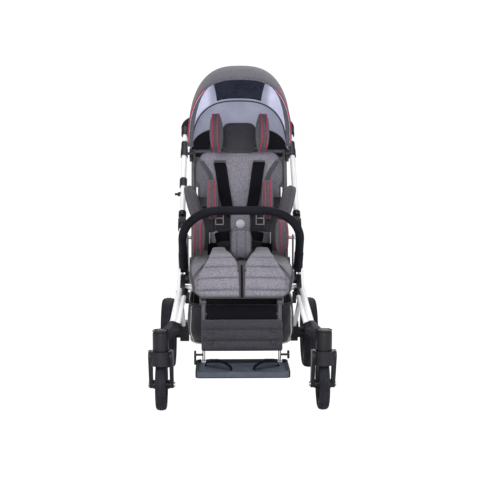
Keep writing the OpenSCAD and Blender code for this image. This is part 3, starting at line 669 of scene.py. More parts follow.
def pad(name, place, size, body, finish, node, radius, trim="binding", tone=0.0, cord="piping", out=1.012):
    """A padded box cushion in place with a cord along its seams. size is its two half sides, its thickness when
    swollen, its half gusset and the squareness of its corners. tone picks the cloth."""
    a, b, thick, gusset, n = size
    bm, held = cushion_bm(a, b, thick - 4, gusset, n)
    made = piece(f"{name}_cover", bm, None, finish, "grey_fabric")
    swell(made, held, bpy.context.scene.buggy_sizes.puff)
    layer_values(made, "tone", [tone] * len(made.data.vertices))
    made.data.transform(place)
    if place.determinant() < 0:
        made.data.flip_normals()
    padding(made, body, node)
    cords(f"{name}_{cord}", seam_routes(place, a, b, gusset, n, out), radius, body, trim, closed=True)


def side_place(centre, yaw=0.0, extra=Matrix.Identity(4)):
    """Matrix that turns a cushion's faces sideways: its long side up, its thickness across."""
    upright = Matrix(((0, 0, 1, 0), (0, 1, 0, 0), (-1, 0, 0, 0), (0, 0, 0, 1)))
    return Matrix.Translation(centre) @ extra @ Matrix.Rotation(math.radians(yaw), 4, "Z") @ upright


# Sewn covers: a tube of cloth whose front shows and whose back lies on the frame

def wrap(u, share, half, tuck=1.0):
    """Place across a cover, and whether it is on the front, which takes a share of the way round."""
    if u < share:
        return half * (1 - 2 * u / share), True
    return half * tuck * (2 * (u - share) / (1 - share) - 1), False


def cover(name, step, cells, look, body, node, cap):
    """A cover laid out by step.place. step.mark gives at (u, v) whether a seam holds, the tone and a dip in mm."""
    made = piece(name, tube_grid(*cells, step.place), None, *look)
    marks = [step.mark(u, v) for u, v in uv_of(made)]
    swell(made, [i for i, mark in enumerate(marks) if mark[0]], cap)
    made.data.update()
    normals = [n.vector.copy() for n in made.data.vertex_normals]
    for vert, n, mark in zip(made.data.vertices, normals, marks):
        vert.co -= n * (mark[2] * MM)
    layer_values(made, "tone", [mark[1] for mark in marks])
    padding(made, body, node)


class BuggyStep:
    """What every step of the build shares."""

    bl_options = {"REGISTER", "UNDO"}


class BUGGY_OT_finishes(BuggyStep, bpy.types.Operator):
    """Make the finishes and put them on the frame's own pieces"""

    bl_idname = "buggy.finishes"
    bl_label = "Finishes"

    worn = {"white_paint": "paint", "black_plastic": "plastic", "tyre": "rubber", "rim_plastic": "plastic",
            "black_foam": "foam", "steel": "steel", "dark_metal": "dark_metal", "grey_fabric": "panel",
            "dark_fabric": "calf", "webbing": "webbing", "canopy_fabric": "hood", "slate_plastic": "slate"}

    def execute(self, context):
        c = context.scene.buggy_colours
        plate = (PLATE_LOW + PLATE_RIM, PLATE_HIGH - PLATE_RIM)
        FINISH.update({
            "panel": melange_cloth("panel_cloth", c.panel, c.binding),
            "side": melange_cloth("side_cloth", c.side, c.panel),
            "calf": melange_cloth("calf_cloth", c.calf, c.binding),
            # The basket's cloth is the calf cloth at half its brightness: painted shade, for the basket sits under the
            # seat.
            "bag": melange_cloth("shaded_basket_cloth", shade(c.calf, 0.5), c.binding),
            "hood": melange_cloth("hood_cloth", c.hood, c.side),
            # The lining's glow is painted light: an emission that stands in for light through the thin cloth.
            "lining": plain_cloth("hood_lining", c.lining, glow=0.42),
            "black_cloth": plain_cloth("black_cloth", c.webbing),
            "window": roof_window("roof_window", c.window),
            "piping": piping_tape("crimson_piping", c.piping),
            "binding": piping_tape("edge_binding", c.binding),
            "webbing": strap_webbing("strap_webbing", c.webbing),
            "paint": gloss_paint("tube_paint", c.paint),
            "plastic": moulded_plastic("black_plastic", c.plastic),
            "slate": moulded_plastic("slate_plastic", c.slate, 0.5, 700.0, plate),
            "buckle": moulded_plastic("buckle_plastic", shade(c.plastic, 0.4), 0.3),
            "pale_plastic": moulded_plastic("pale_plastic", (0.42, 0.41, 0.44), 0.4),
            "rubber": tyre_rubber("tyre_rubber", c.rubber),
            "foam": closed_foam("foam_grip", (0.004, 0.004, 0.0068)),
            "steel": bare_metal("drawn_steel", (0.5, 0.5, 0.52)),
            "dark_metal": moulded_plastic("dark_tube_paint", (0.075, 0.075, 0.085)),
        })
        for row in frame["record"]["subparts"]:
            mesh = NODES[row["node"]].data
            mesh.materials.clear()
            key = "buckle" if row["node"] == "snap_studs" else self.worn[row["material_slot"]]
            mesh.materials.append(FINISH[key])
        return {"FINISHED"}


class BUGGY_OT_seat_cushion(BuggyStep, bpy.types.Operator):
    """Quilted seat cushion with two thigh halves that roll over the front edge"""

    bl_idname = "buggy.seat_cushion"
    bl_label = "Seat cushion"

    flat = 262.0
    apron = 21.0
    bend = 52.0
    thick = 50.0
    lift = 29.0
    channels = (135.0, 180.0, 225.0, 270.0, 312.0, 358.0, 403.0)
    outer_edge = ((60, 112), (200, 116), (270, 123), (316, 142), (358, 171), (376, 178), (440, 178))
    inner_edge = ((60, 54), (120, 49), (180, 43), (255, 28), (300, 8), (440, 8))
    top_share = 0.66

    def reach(self):
        """Length over the cushion's outer face, from its rear edge to the end of the apron."""
        return self.flat + self.arc() + self.apron

    def arc(self):
        return (self.bend + self.thick) * math.pi / 2

    def line(self, q):
        """Underside point and outward direction at a length along the outer face."""
        if q < self.flat:
            return (-q, 0.05, 0.0, 1.0)
        turn = min(math.pi / 2, (q - self.flat) / (self.bend + self.thick))
        drop = max(0.0, q - self.flat - self.arc())
        y = -self.flat - self.bend * math.sin(turn)
        return (y, 0.05 - self.bend + self.bend * math.cos(turn) - drop, -math.sin(turn), math.cos(turn))

    def half(self, q):
        """Half width, drawn in round the corners of the apron."""
        return SEAT_HALF / MM * (1 - 0.07 * ease((q - 300) / 110) - 0.17 * ease((q - self.reach() + 44) / 44) ** 2)

    def outer(self, q):
        """Where a thigh panel ends towards the side."""
        return min(between(q, self.outer_edge), self.half(q) - 13)

    def inner(self, q):
        """Where a thigh panel ends towards the middle: a V round the pommel, then the split."""
        return between(q, self.inner_edge)

    def inside(self, x, q):
        """How far a point lies inside a thigh panel, whose rear end is rounded, in millimetres."""
        rear = 58 + 20 * abs((abs(x) - 83) / 29) ** 3
        return min(abs(x) - self.inner(q), self.outer(q) - abs(x), q - rear, self.reach() - 12 - q)

    def quilt(self, x, q):
        """Distance from the nearest sewn channel, as a share of half a roll."""
        low = q - 6 * (x / 196) ** 2 * ease((q - 240) / 80)
        return min(1.0, min(abs(low - c) for c in self.channels) / 22)

    def height(self, x, q):
        """Thickness at a place across and a length along."""
        ends = min(ease((q + 4) / 24), ease((self.reach() - q + 3) / 20))
        crown = max(0.0, 1 - (abs(x) / self.half(q)) ** 6) ** 0.4
        well = self.inside(x, q)
        lift = self.lift * (1 - ease((q - 225) / 125)) * ease((well + 7) / 13)
        roll = math.sqrt(1 - (1 - self.quilt(x, q)) ** 2)
        pillow = 7.0 * ease(well / 9) * (0.1 + 0.9 * roll)
        return 6 + (self.thick - 10) * ends * crown + lift + pillow

    def off(self, x, q, h):
        """A point at a height off the cushion's underside."""
        y, z, ny, nz = self.line(q)
        return seat_point(x, y + ny * h, z + nz * h)

    def on_top(self, x, q):
        return self.off(x, q, self.height(x, q) + 0.6)

    def place(self, u, v):
        q = v * self.reach()
        x, top = wrap(u, self.top_share, self.half(q), 0.985)
        return self.off(x, q, self.height(x, q) if top else 0.0)

    def tape(self, x, q):
        """1 on the tape round the thigh panels and along the cushion's own edges."""
        rim = min(self.half(q) - abs(x), self.reach() - q)
        beside = abs(self.inside(x, q) + self.width / 2) - self.width / 2
        return max(1 - ease((rim - self.width) / 3), 1 - ease(beside / 2.5))

    def tone(self, x, q):
        """Cloth at a point: light panel 0, side cloth between, tape and the dark middle 1, with painted shade in the
        grooves of the quilting channels.
        """
        well = self.inside(x, q)
        middle = abs(x) < 112 and (abs(x) < self.inner(q) + 4 or q < 90)
        # Painted shade: the quilting channels are darkened towards the binding colour along their grooves.
        seam_and_shade = (1 - self.quilt(x, q)) ** 8 * ease(well / 6)
        return max((1 - ease((well + 2) / 3)) * (1.0 if middle else 0.28), self.tape(x, q), 0.85 * seam_and_shade)

    def mark(self, u, v):
        q = v * self.reach()
        x, top = wrap(u, self.top_share, self.half(q))
        if not top:
            return True, 1.0, 0.0
        return self.tape(x, q) > 0.3 or self.quilt(x, q) < 0.2, self.tone(x, q), 0.0

    def execute(self, context):
        sizes = context.scene.buggy_sizes
        self.width = sizes.binding / MM
        cover("seat_cushion_cover", self, (150, 116), ("panel", "grey_fabric"), "seat", "seat_cushion",
              sizes.puff * 0.5)
        routes = []
        for s in (-1, 1):
            for off in (1, self.width - 1):
                spots = [(self.outer(q) + off, q) for q in steps(74, 404, 47)]
                routes.append([self.on_top(s * x, q) for x, q in spots if x <= self.half(q) - 4])
            routes.append([self.on_top(s * 7, q) for q in steps(300, 432, 30)])
        cords("seat_panel_piping", routes, 0.002, "seat", "binding")
        cords("seat_split", [[self.on_top(0, q) for q in steps(292, 434, 30)]], 0.003, "seat", "webbing")
        return {"FINISHED"}


class BUGGY_OT_back_cushion(BuggyStep, bpy.types.Operator):
    """Back cushion with a yoke, a light middle panel and rounded side bolsters"""

    bl_idname = "buggy.back_cushion"
    bl_label = "Back cushion"

    low = 40.0
    high = 440.0
    depth = 36.0
    behind = -3.1
    front_share = 0.62
    tape = 13.0
    side = ((40, 152), (60, 161), (180, 164.5), (294, 164), (318, 177), (374, 179), (400, 172), (425, 157), (440, 138))
    panel = ((40, 92), (180, 98), (260, 103), (322, 105), (335, 109), (350, 115), (370, 127), (382, 136), (400, 146),
             (425, 160))

    def half(self, z):
        return between(z, self.side)

    def edge(self, z):
        """Where the middle panel meets the bolster, across."""
        return between(z, self.panel)

    def height(self, x, z):
        """Thickness of the padding at a point."""
        rim = max(0.0, 1 - (abs(x) / self.half(z)) ** 6) ** 0.5
        ends = min(ease((z - self.low + 3) / 16), ease((self.high - z + 3) / 15))
        bolster = near(abs(x) - self.edge(z), 26, 30)
        spine = 0.74 + 0.08 * near(x, 0, 50)
        return 5 + (self.depth - 4) * rim * ends * max(spine, 0.72 + 0.34 * bolster)

    def place(self, u, v):
        z = self.low + v * (self.high - self.low)
        x, front = wrap(u, self.front_share, self.half(z), 0.98)
        return back_point(x, self.behind - (self.height(x, z) if front else 0.0), z)

    def seams(self, x, z):
        """Sewn lines: the double line at the bolsters, the yoke and the middle panel's V."""
        ax, edge = abs(x), self.edge(z)
        side = max(near(ax, edge, 2.6), near(ax, edge + self.tape, 2.6)) if z < 398 else 0.0
        yoke = near(z, 394, 2.6) if ax < edge else 0.0
        vee = near(z, 196 + max(0.0, ax - 8) * 0.9, 3.0) if ax < 56 else 0.0
        band = near(z, 268 + ax * 0.1, 3.0) * 0.6 if ax < 58 else 0.0
        return max(side, yoke, vee, band)

    def mark(self, u, v):
        z = self.low + v * (self.high - self.low)
        x, front = wrap(u, self.front_share, self.half(z))
        if not front:
            return True, 1.0, 0.0
        ax, edge, half = abs(x), self.edge(z), self.half(z)
        seam_and_shade = self.seams(x, z)
        strip = near(ax, edge + self.tape / 2, 6.0) if z < 400 else 0.0
        dark = max(ease((200 - z) / 24), ease((ax - half + 10) / 4))
        # The seams are darkened as painted shade in their grooves.
        tone = max(0.55 * ease((ax - edge) / 4), 0.9 * strip, 0.6 * seam_and_shade ** 2, dark)
        return seam_and_shade > 0.55 or ax > half - 3, tone, 2.6 * seam_and_shade

    def execute(self, context):
        cover("back_cushion_cover", self, (112, 74), ("panel", "grey_fabric"), "backrest", "back_cushion",
              context.scene.buggy_sizes.puff * 0.9)
        routes = []
        for s in (-1, 1):
            for off in (0, self.tape):
                spots = [(min(self.edge(z) + off, self.half(z) - 4), z) for z in steps(46, 396, 43)]
                routes.append([back_point(s * x, self.behind - self.height(x, z) - 1.6, z) for x, z in spots])
        cords("back_bolster_piping", routes, 0.0021, "backrest", "binding")
        return {"FINISHED"}


class BUGGY_OT_side_pads(BuggyStep, bpy.types.Operator):
    """Head, trunk and hip pads: box cushions with two lines of crimson piping"""

    bl_idname = "buggy.side_pads"
    bl_label = "Side pads"

    def execute(self, context):
        top = pivot("head_wing_right_swing")
        wing = top + LEAN @ Vector((7 * MM, -63 * MM, 1 * MM))
        pads = (("head_wing", "head_wing", side_place(wing, 8, LEAN), (73, 48, 54, 10.5, 2.6)),
                ("trunk_pad", "trunk", side_place(back_point(107, -102, 222), 0, LEAN), (72, 56, 48, 11.0, 3.0)),
                ("hip_pad", "hip", side_place(seat_point(159, -72, 124), 4), (60, 74, 48, 12.0, 3.0)))
        for name, body, place, size in pads:
            for side, flip in SIDES:
                pad(f"{name}_{side}", flip @ place, size, f"{body}_{side}", "side", f"{name}_{side}",
                    context.scene.buggy_sizes.piping, "piping")
        for side, flip in SIDES:
            self.brackets(side, flip, top)
        return {"FINISHED"}

    def brackets(self, side, flip, top):
        """Hinge, slide and rod that carry the pads of one side."""
        barrel = turned([(4.9, -28), (8.6, -28), (9, -27), (9, 27), (8.6, 28), (4.9, 28)],
                        flip @ Matrix.Translation(top) @ LEAN)
        arm = top + LEAN @ Vector((2 * MM, -14 * MM, 0))
        hinge = faced(joined(barrel, block((12, 34, 34), 3, flip @ Matrix.Translation(arm) @ LEAN)))
        fitting(f"head_wing_{side}_hinge", hinge, f"head_wing_{side}")
        bars = (((40, 8, 42), (150, -52, 222)), ((5, 60, 42), (168.5, -26, 222)),
                ((14, 5, 42), (167, 5.9, 222)), ((24, 14, 40), (130, -57, 222)))
        slide = faced(joined(*(block(size, 1.6, flip @ at_back(*spot)) for size, spot in bars)))
        fitting(f"trunk_pad_{side}_bracket", slide, f"trunk_{side}")
        rod = turned([(0, 0), (5.6, 0), (6, 0.6), (6, 29), (5.4, 30), (0, 30)],
                     flip @ at_seat(180, -80, 120) @ Matrix.Rotation(QUARTER, 4, "Y"))
        piece(f"hip_pad_{side}_rod", rod, f"hip_{side}", "steel", "steel")


class BUGGY_OT_head_pad(BuggyStep, bpy.types.Operator):
    """Headrest pad on its sliding post"""

    bl_idname = "buggy.head_pad"
    bl_label = "Headrest"

    def execute(self, context):
        place = at_back(0, -27, 492) @ Matrix.Rotation(QUARTER, 4, "X")
        pad("head_pad", place, (63, 58, 42, 11, 5.0), "headrest", "calf", "head_pad", 0.002)
        parts = [block((32, 6, 272), 1.5, at_back(0, 11, 399)), block((32, 22, 40), 2, at_back(0, 0, 495))]
        pin = [(0, -41), (4.2, -41), (4.5, -40), (4.5, 40), (4.2, 41), (0, 41)]
        for s in (-1, 1):
            parts += [block((50, 8, 6), 1.2, at_back(s * 65, -15, z)) for z in (464, 532)]
            parts.append(turned(pin, at_back(s * 84, -15, 498)))
        fitting("head_post", faced(joined(*parts)), "headrest")
        return {"FINISHED"}


class BUGGY_OT_side_wings(BuggyStep, bpy.types.Operator):
    """Outward-leaning grey wing pads beside the back"""

    bl_idname = "buggy.side_wings"
    bl_label = "Side wings"

    def execute(self, context):
        turn = (Matrix.Rotation(math.radians(15), 4, "Z") @ Matrix.Rotation(math.radians(20), 4, "Y")
                @ Matrix.Rotation(-BACK_LEAN, 4, "X"))
        place = side_place(seat_point(180, 0.3, 241.4), 0, turn)
        for side, flip in SIDES:
            pad(f"side_wing_{side}", flip @ place, (70, 50, 40, 8, 3.0), "backrest", "side", "side_wings", 0.0016,
                cord="seam", out=1.01)
            arm = joined(block((8, 82, 22), 2, flip @ at_seat(183, 73.3, 254.4)),
                         block((30, 20, 40), 3, flip @ at_seat(185, 121.3, 257.4)))
            fitting(f"side_wing_{side}_arm", arm, "backrest")
        return {"FINISHED"}


class BUGGY_OT_pommel(BuggyStep, bpy.types.Operator):
    """Pommel between the thighs, and the belly pad of the harness"""

    bl_idname = "buggy.pommel"
    bl_label = "Pommel and belly pad"

    half_x, half_z = 36.5, 51
    gusset = 27
    square = 4.6
    seam = 16

    def drawn(self, co):
        """A point of the pommel drawn in towards its foot."""
        x, y, z = co / MM
        squeeze = 1 - 0.12 * ease((-y - 26) / 26)
        return Vector((x * squeeze, y, z * squeeze)) * MM

    def execute(self, context):
        place = at_seat(0, -178, 112) @ Matrix.Rotation(QUARTER, 4, "X")
        bm, held = cushion_bm(self.half_x, self.half_z, 72, self.gusset, self.square, (20, 22, 10))
        for vert in bm.verts:
            vert.co = self.drawn(vert.co)
        made = piece("pommel_cover", bm, None, "side", "grey_fabric")
        swell(made, held, 0.004)
        # The two seams are darkened as painted shade in their grooves.
        layer_values(made, "tone", [0.38 - 0.3 * near(abs(v.co.x / MM), self.seam, 2.0) for v in made.data.vertices])
        for vert in made.data.vertices:
            if abs(vert.co.z) > 0.024:
                groove = 1.6 * near(abs(vert.co.x / MM), self.seam, 2.4)
                vert.co.z -= math.copysign(groove * MM, vert.co.z)
        made.data.transform(place)
        padding(made, "pommel", "pommel")
        routes = seam_routes(Matrix.Identity(4), self.half_x, self.half_z, self.gusset, self.square)
        routes = [[place @ self.drawn(p) for p in route] for route in routes]
        cords("pommel_piping", routes, 0.0018, "pommel", "binding", closed=True)
        post = turned([(0, -67), (7.6, -67), (7.95, -66), (7.95, 12), (0, 12)], at_seat(0, -178, 55))
        piece("pommel_post", post, "pommel", "steel", "steel")
        self.belly()
        return {"FINISHED"}

    def belly(self):
        """Belly pad with its round release button."""
        place = at_seat(0, -54, 176) @ Matrix.Rotation(math.radians(78), 4, "X")
        pad("belly_pad", place, (37, 46, 24, 5, 3.2), "seat", "side", "belly_pad", 0.0016, tone=0.35)
        dome = turned([(17, 0), (17, 3), (15.6, 5), (12.5, 6), (12, 5.2), (11, 7.4), (6, 8.8), (0, 9.2)],
                      place @ Matrix.Translation(Vector((0, -8, 9)) * MM))
        fitting("belly_button", dome, "seat", "pale_plastic")


class BUGGY_OT_harness(BuggyStep, bpy.types.Operator):
    """Shoulder straps, hip belts and their buckles"""

    bl_idname = "buggy.harness"
    bl_label = "Harness"

    # Stations: a point in millimetres, then half the strap's width there, across or as a vector
    shoulder = ((78, -24, 387, 19.5), (78, -44, 384, 24.5), (72, -48, 350, 24), (65, -48.5, 300, 24),
                (59, -50, 262, 23.5), (52, -58, 222, 22.5), (44, -72, 186, 20))
    shoulder_end = (33, -52, 196, 14)
    belt = ((107, 5.3, 1, 19, 0, 0), (107, 5.3, 58, 19, 0, 0), (105, -3, 86, 17, 2, 9), (98, -23, 108, 8, 6, 16),
            (72, -45, 120, 4, 2, 18), (34, -53.3, 123, 2, 0, 19), (9, -53.3, 123, 0, 0, 19))
    slider = ((-15, 0, 4, 46), (15, 0, 4, 46), (0, 21, 26, 4), (0, -21, 26, 4), (0, 4, 26, 4))

    def execute(self, context):
        thick = context.scene.buggy_sizes.webbing
        for side, s in HANDS:
            stations = [(back_point(s * x, y, z), Vector((s * half * MM, 0, 0))) for x, y, z, half in self.shoulder]
            x, y, z, half = self.shoulder_end
            stations.append((seat_point(s * x, y, z), Vector((s * half * MM, 0, 0))))
            made = piece(f"shoulder_strap_{side}", strap_bm(stations, 6, 10, thick * 1.7), None, "webbing", "webbing")
            subdivided(made)
            back_point(0, -50, 262)
            seat_point(0, -52, 196)
            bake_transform(made)
            if s < 0:
                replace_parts(made, "harness")
            self.hip_belt(side, s, thick)
        for side, flip in SIDES:
            self.tabs(side, flip)
        return {"FINISHED"}

    def on_seat(self, stations, s):
        """Stations over the seat, on one side."""
        return [(seat_point(s * x, y, z), Vector((s * hx, hy, hz)) * MM) for x, y, z, hx, hy, hz in stations]

    def hip_belt(self, side, s, thick):
        """Belt from the rear of the pan to the middle, with its padded sleeve, slider and buckle."""
        belt = strap_bm(self.on_seat(self.belt, s), 6, 10, thick)
        made = piece(f"hip_belt_{side}", belt, "seat", "webbing", "webbing")
        subdivided(made)
        if s < 0:
            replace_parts(made, "hip_belt")
        # The sleeves are one cloth, but the left one is given a lighter tone than the right: painted light on the left
        # sleeve and painted shade on the right.
        near_end, far, tone = (102, 44, 0.15) if s > 0 else (102, 88, 0.75)
        run = near_end - far
        sleeve = ((116, -10, 110, 5, 4, 19), (near_end, -26, 113, 4, 3, 21),
                  ((far + near_end) / 2, -26 - run * 0.24, 118, 3, 2, 20), (far, -26 - run * 0.46, 122, 2, 1, 19))
        made = piece(f"belt_sleeve_{side}", strap_bm(self.on_seat(sleeve, s), 6, 8, 0.006), "seat", "side",
                     "grey_fabric")
        layer_values(made, "tone", [tone] * len(made.data.vertices))
        subdivided(made)
        end = block((4, 9, 44), 1.8, at_seat(s * 118, -9, 110))
        fitting(f"belt_slider_{side}", end, "seat", "pale_plastic")
        buckle = block((30, 9, 34), 3.5, at_seat(s * 28, -58, 123))
        faces = [f for f in buckle.faces if f.calc_area() > 4e-4]
        bmesh.ops.inset_region(buckle, faces=faces, thickness=0.004, depth=-0.0012, use_even_offset=True)
        fitting(f"belt_buckle_{side}", buckle, "seat", "buckle")

    def tabs(self, side, flip):
        """Stitched slot where a shoulder strap leaves the back, and the slider ring below it."""
        tab = block((46, 3, 9), 1.2, flip @ at_back(78, -44.5, 391))
        piece(f"strap_slot_{side}", tab, "backrest", "binding", "webbing")
        ring = flip @ at_back(80, -38, 158)
        bars = [block((wide, 4, tall), 1.4, ring @ Matrix.Translation(Vector((x, 0, z)) * MM))
                for x, z, wide, tall in self.slider]
        fitting(f"strap_slider_{side}", joined(*bars), "backrest", "pale_plastic")


class BUGGY_OT_canopy(BuggyStep, bpy.types.Operator):
    """Canopy: outer cloth, pale lining, dark roof window, bows and crimson edges"""

    bl_idname = "buggy.canopy"
    bl_label = "Canopy"

    rear = -23.0
    front = 128.0
    bows = (15.0, 65.0, 88.0, 128.0)
    half_width = 196
    reach = ((12, 118), (31, 146), (48, 190), (66, 240), (80, 280), (90, 308), (98, 335), (104, 353), (110, 364),
             (118, 367), (125, 364), (131, 359))

    def sag(self, g):
        """Share by which the cloth falls in between two bows."""
        for a, b in zip(self.bows, self.bows[1:]):
            if a <= g <= b:
                return 0.012 * math.sin(math.pi * (g - a) / (b - a)) ** 2
        return 0.0

    def spot(self, t, g, inset=0.0):
        """Point of the hood: t across it, g round its pivot, both in degrees, inset in millimetres."""
        swing, lift = math.radians(g), math.radians(t)
        half = self.half_width + 7 * ease((g - 74) / 20) - inset
        r = (between(g, self.reach) - inset) * (1 - self.sag(g) * math.sin(lift))
        rise = spow(math.sin(lift), 0.74) * r
        x = half * spow(math.cos(lift), 0.74)
        return CANOPY + Vector((x, rise * math.cos(swing), rise * math.sin(swing))) * MM

    def swing(self, v):
        """Degrees round the pivot at a share of the way from the rear edge to the front one."""
        return self.rear + (self.front - self.rear) * v

    def cloth(self, name, cells, place, finish, tone=None):
        """A cloth laid out by place(u, v), tinted by tone(degrees across, degrees round)."""
        made = piece(name, faced(sheet_grid(*cells, place)), None, finish, "canopy_fabric")
        if tone:
            layer_values(made, "tone", [tone(180 * u, self.swing(v)) for u, v in uv_of(made)])
        return made

    def across(self, u):
        """Degrees across the hood, short of its lower edges."""
        return 2.5 + 175 * u

    def outer_tone(self, t, g):
        """Dark seams over the bows and beside the roof panel."""
        bow = max(near(g, 88, 0.9), near(g, 65, 0.9) * 0.7, near(g, self.front - 2, 1.0))
        return 0.8 * max(bow, near(abs(t - 90), 31, 0.8) * (g < 88))

    def lining_tone(self, t, g):
        """Black low at the back, grey in its middle, with seams, and painted shade over the rear section and down the
        middle under the window.
        """
        side = abs(t - 90)
        black = 1 - ease((g - 39) / 3.5)
        grey = 0.1 * ease((18 - g) / 6) * ease((34 - side) / 5)
        seam = max(near(t, c, 0.7) for c in (62, 82, 98, 118)) * (g < 64) * 0.35
        # Painted shade: the rear section and the strip down the middle under the window are darkened.
        painted_shade = max(0.56 * (1 - ease((g - 64) / 3)), 0.5 * ease((38 - side) / 12))
        return max(black - grey, seam, painted_shade)

    def window(self, u, v):
        """Roof window between the front hem and the middle bow, wider at the hem."""
        half = 21 + 13 * v ** 1.2
        return self.spot(90 + half * (2 * u - 1), 67 + 59 * v, 5.0)

    def hem(self, u, v):
        """Outer cloth turned in along the front edge."""
        deep = 5 + 15 * ease(abs(2 * u - 1) * 1.7 - 0.35)
        return self.spot(self.across(u), self.front - 0.5 - v, 0.8 + deep * v)

    def shell(self, inset):
        return lambda u, v: self.spot(self.across(u), self.swing(v), inset)

    def follow(self, made):
        """Bakes a piece's place into its mesh."""
        self.spot(90, 20)
        self.spot(90, 125)
        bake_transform(made)

    def execute(self, context):
        sizes = context.scene.buggy_sizes
        outer = self.cloth("canopy_cloth", (84, 78), self.shell(0.0), "hood", self.outer_tone)
        lining = self.cloth("canopy_lining", (84, 78), self.shell(3.4), "lining", self.lining_tone)
        window = self.cloth("canopy_window", (40, 40), self.window, "window")
        hem = self.cloth("canopy_hem", (96, 6), self.hem, "hood")
        for made, depth in ((outer, sizes.cloth), (lining, sizes.cloth * 0.6), (window, 0.0006), (hem, 0.0012)):
            thickened(made, depth, 0.0)
            area_sheet(made, self.follow)
        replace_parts(outer, "canopy_front", "canopy_rear")
        self.trim(sizes)
        return {"FINISHED"}

    def trim(self, sizes):
        """Crimson edge piping at both sides, and the bows under the lining."""
        edge = steps(4, 56, 40)
        routes = [[self.spot(t, self.front + 0.3, -0.6) for t in ts] for ts in (edge, [180 - t for t in edge])]
        cords("canopy_piping", routes, sizes.piping, "canopy_front", "piping", "canopy_fabric")
        bow = [self.spot(t, self.front + 0.2, 1.0) for t in steps(56, 124, 40)]
        cords("canopy_front_bow", [bow], 0.0022, "canopy_front", "hood", "canopy_fabric")
        bow = [self.spot(t, self.bows[1], 6.5) for t in steps(8, 172, 60)]
        self.follow(cords("canopy_middle_bow", [bow], 0.0028, None, "window", "black_plastic"))


class BUGGY_OT_basket(BuggyStep, bpy.types.Operator):
    """Sagging cloth basket on its wire rim"""

    bl_idname = "buggy.basket"
    bl_label = "Basket"

    half_x, half_y = 0.1975, 0.192
    rim = 0.341
    deep = 0.142
    wall = 0.62
    around = 96
    corners = (0.093, 0.407, 0.593, 0.907)

    def place(self, u, v):
        """Down the wall while v is below its share, then in over the base."""
        g = TURN * u
        if v < self.wall:
            t = v / self.wall
            z = self.rim - 0.003 - t * self.deep
            bulge = 1 + 0.016 * math.sin(math.pi * t)
            foot = 1.0 - 0.045 * ease((t - 0.72) / 0.28)
            scale = bulge * foot * (1 - 0.008 * near(t, 0.02, 0.05))
        else:
            t = (v - self.wall) / (1 - self.wall)
            z = self.rim - 0.003 - self.deep - 0.008 * math.sin(t * math.pi / 2)
            scale = 0.955 * (1 - t) + 0.004
        scale *= 1 + 0.006 * math.sin(9 * g + 14 * v) * math.sin(math.pi * min(1.0, v / self.wall))
        return Vector((self.half_x * spow(math.cos(g), 0.4) * scale,
                       self.middle + self.half_y * spow(math.sin(g), 0.4) * scale, z))

    def ring(self, v):
        return [self.place(i / self.around, v) for i in range(self.around)]

    def execute(self, context):
        low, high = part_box("basket")
        self.middle = (low.y + high.y) / 2
        bm = sheet_grid(self.around, 48, self.place)
        bmesh.ops.remove_doubles(bm, verts=bm.verts, dist=1e-6)
        # The basket cloth is painted with shade: the calf cloth darkened by half.
        made = piece("shaded_basket_cloth", faced(bm), "chassis", "bag", "dark_fabric")
        thickened(made, 0.0016)
        subdivided(made)
        area_sheet(made)
        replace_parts(made, "basket")
        cords("basket_base_piping", [self.ring(self.wall)], 0.0026, "chassis", "pale_plastic", "dark_fabric", True)
        routes = [[self.place(c, v) for v in steps(0.02, self.wall, 24)] for c in self.corners]
        cords("basket_corner_piping", routes, 0.0022, "chassis", "pale_plastic", "dark_fabric")
        wire = [p + Vector((0, 0, 0.003)) for p in self.ring(0.0)]
        cords("basket_rim", [wire], 0.0048, "chassis", "plastic", "black_plastic", True)
        at = Matrix.Translation(Vector((0.2015, pivot("frame_fold").y, 0.357)))
        hooks = joined(*(block((14, 16, 44), 2, flip @ at) for _, flip in SIDES))
        fitting("basket_hangers", hooks, "chassis")
        return {"FINISHED"}


class BUGGY_OT_leg_rest(BuggyStep, bpy.types.Operator):
    """Calf pad of three rolls, with the dark cloth above it"""

    bl_idname = "buggy.leg_rest"
    bl_label = "Calf pad"

    low = -176.0
    high = -64.0
    seams = (-140.0, -100.0)
    half = 149.0
    behind = -8.2
    front_share = 0.64
    apron = 252.0

    def height(self, x, z):
        """Thickness of the padding at a point."""
        ends = min(1.0, (z - self.low + 1) / 14, (self.high - z + 1) / 14)
        rim = max(0.0, 1 - (abs(x) / self.half) ** 8) ** 0.5
        far = min(1.0, min(abs(z - s) for s in self.seams) / 17)
        roll = math.sqrt(1 - (1 - far) ** 2)
        return 4 + (10 + 11 * roll) * math.sqrt(max(0.0, ends * (2 - ends))) * rim

    def place(self, u, v):
        z = self.low + v * (self.high - self.low)
        wide = self.half - 4 * (1 - min(ease((z - self.low + 2) / 10), ease((self.high - z + 2) / 10)))
        x, front = wrap(u, self.front_share, wide, 0.985)
        return leg_point(x, self.behind - (self.height(x, z) if front else 0.0), z)

    def mark(self, u, v):
        z = self.low + v * (self.high - self.low)
        x, front = wrap(u, self.front_share, self.half)
        if not front:
            return True, 0.7, 0.0
        seam_and_shade = max(near(z, s, 3.0) for s in self.seams)
        # The seams between the rolls are darkened as painted shade in their grooves.
        tone = max(0.6 * seam_and_shade ** 2, 0.7 * ease((abs(x) - 141) / 4))
        return seam_and_shade > 0.5 or abs(x) > self.half - 6, tone, seam_and_shade

    def sheet(self, u, v):
        return leg_point(self.apron * (u - 0.5), -9.6 - 3 * math.sin(math.pi * v), 54 * v - 68)

    def execute(self, context):
        cover("calf_pad_cover", self, (104, 44), ("calf", "dark_fabric"), "legrest", "calf_pad",
              context.scene.buggy_sizes.puff)
        made = piece("calf_apron", sheet_grid(40, 12, self.sheet), "legrest", "black_cloth", "dark_fabric")
        thickened(made, 0.0016)
        return {"FINISHED"}


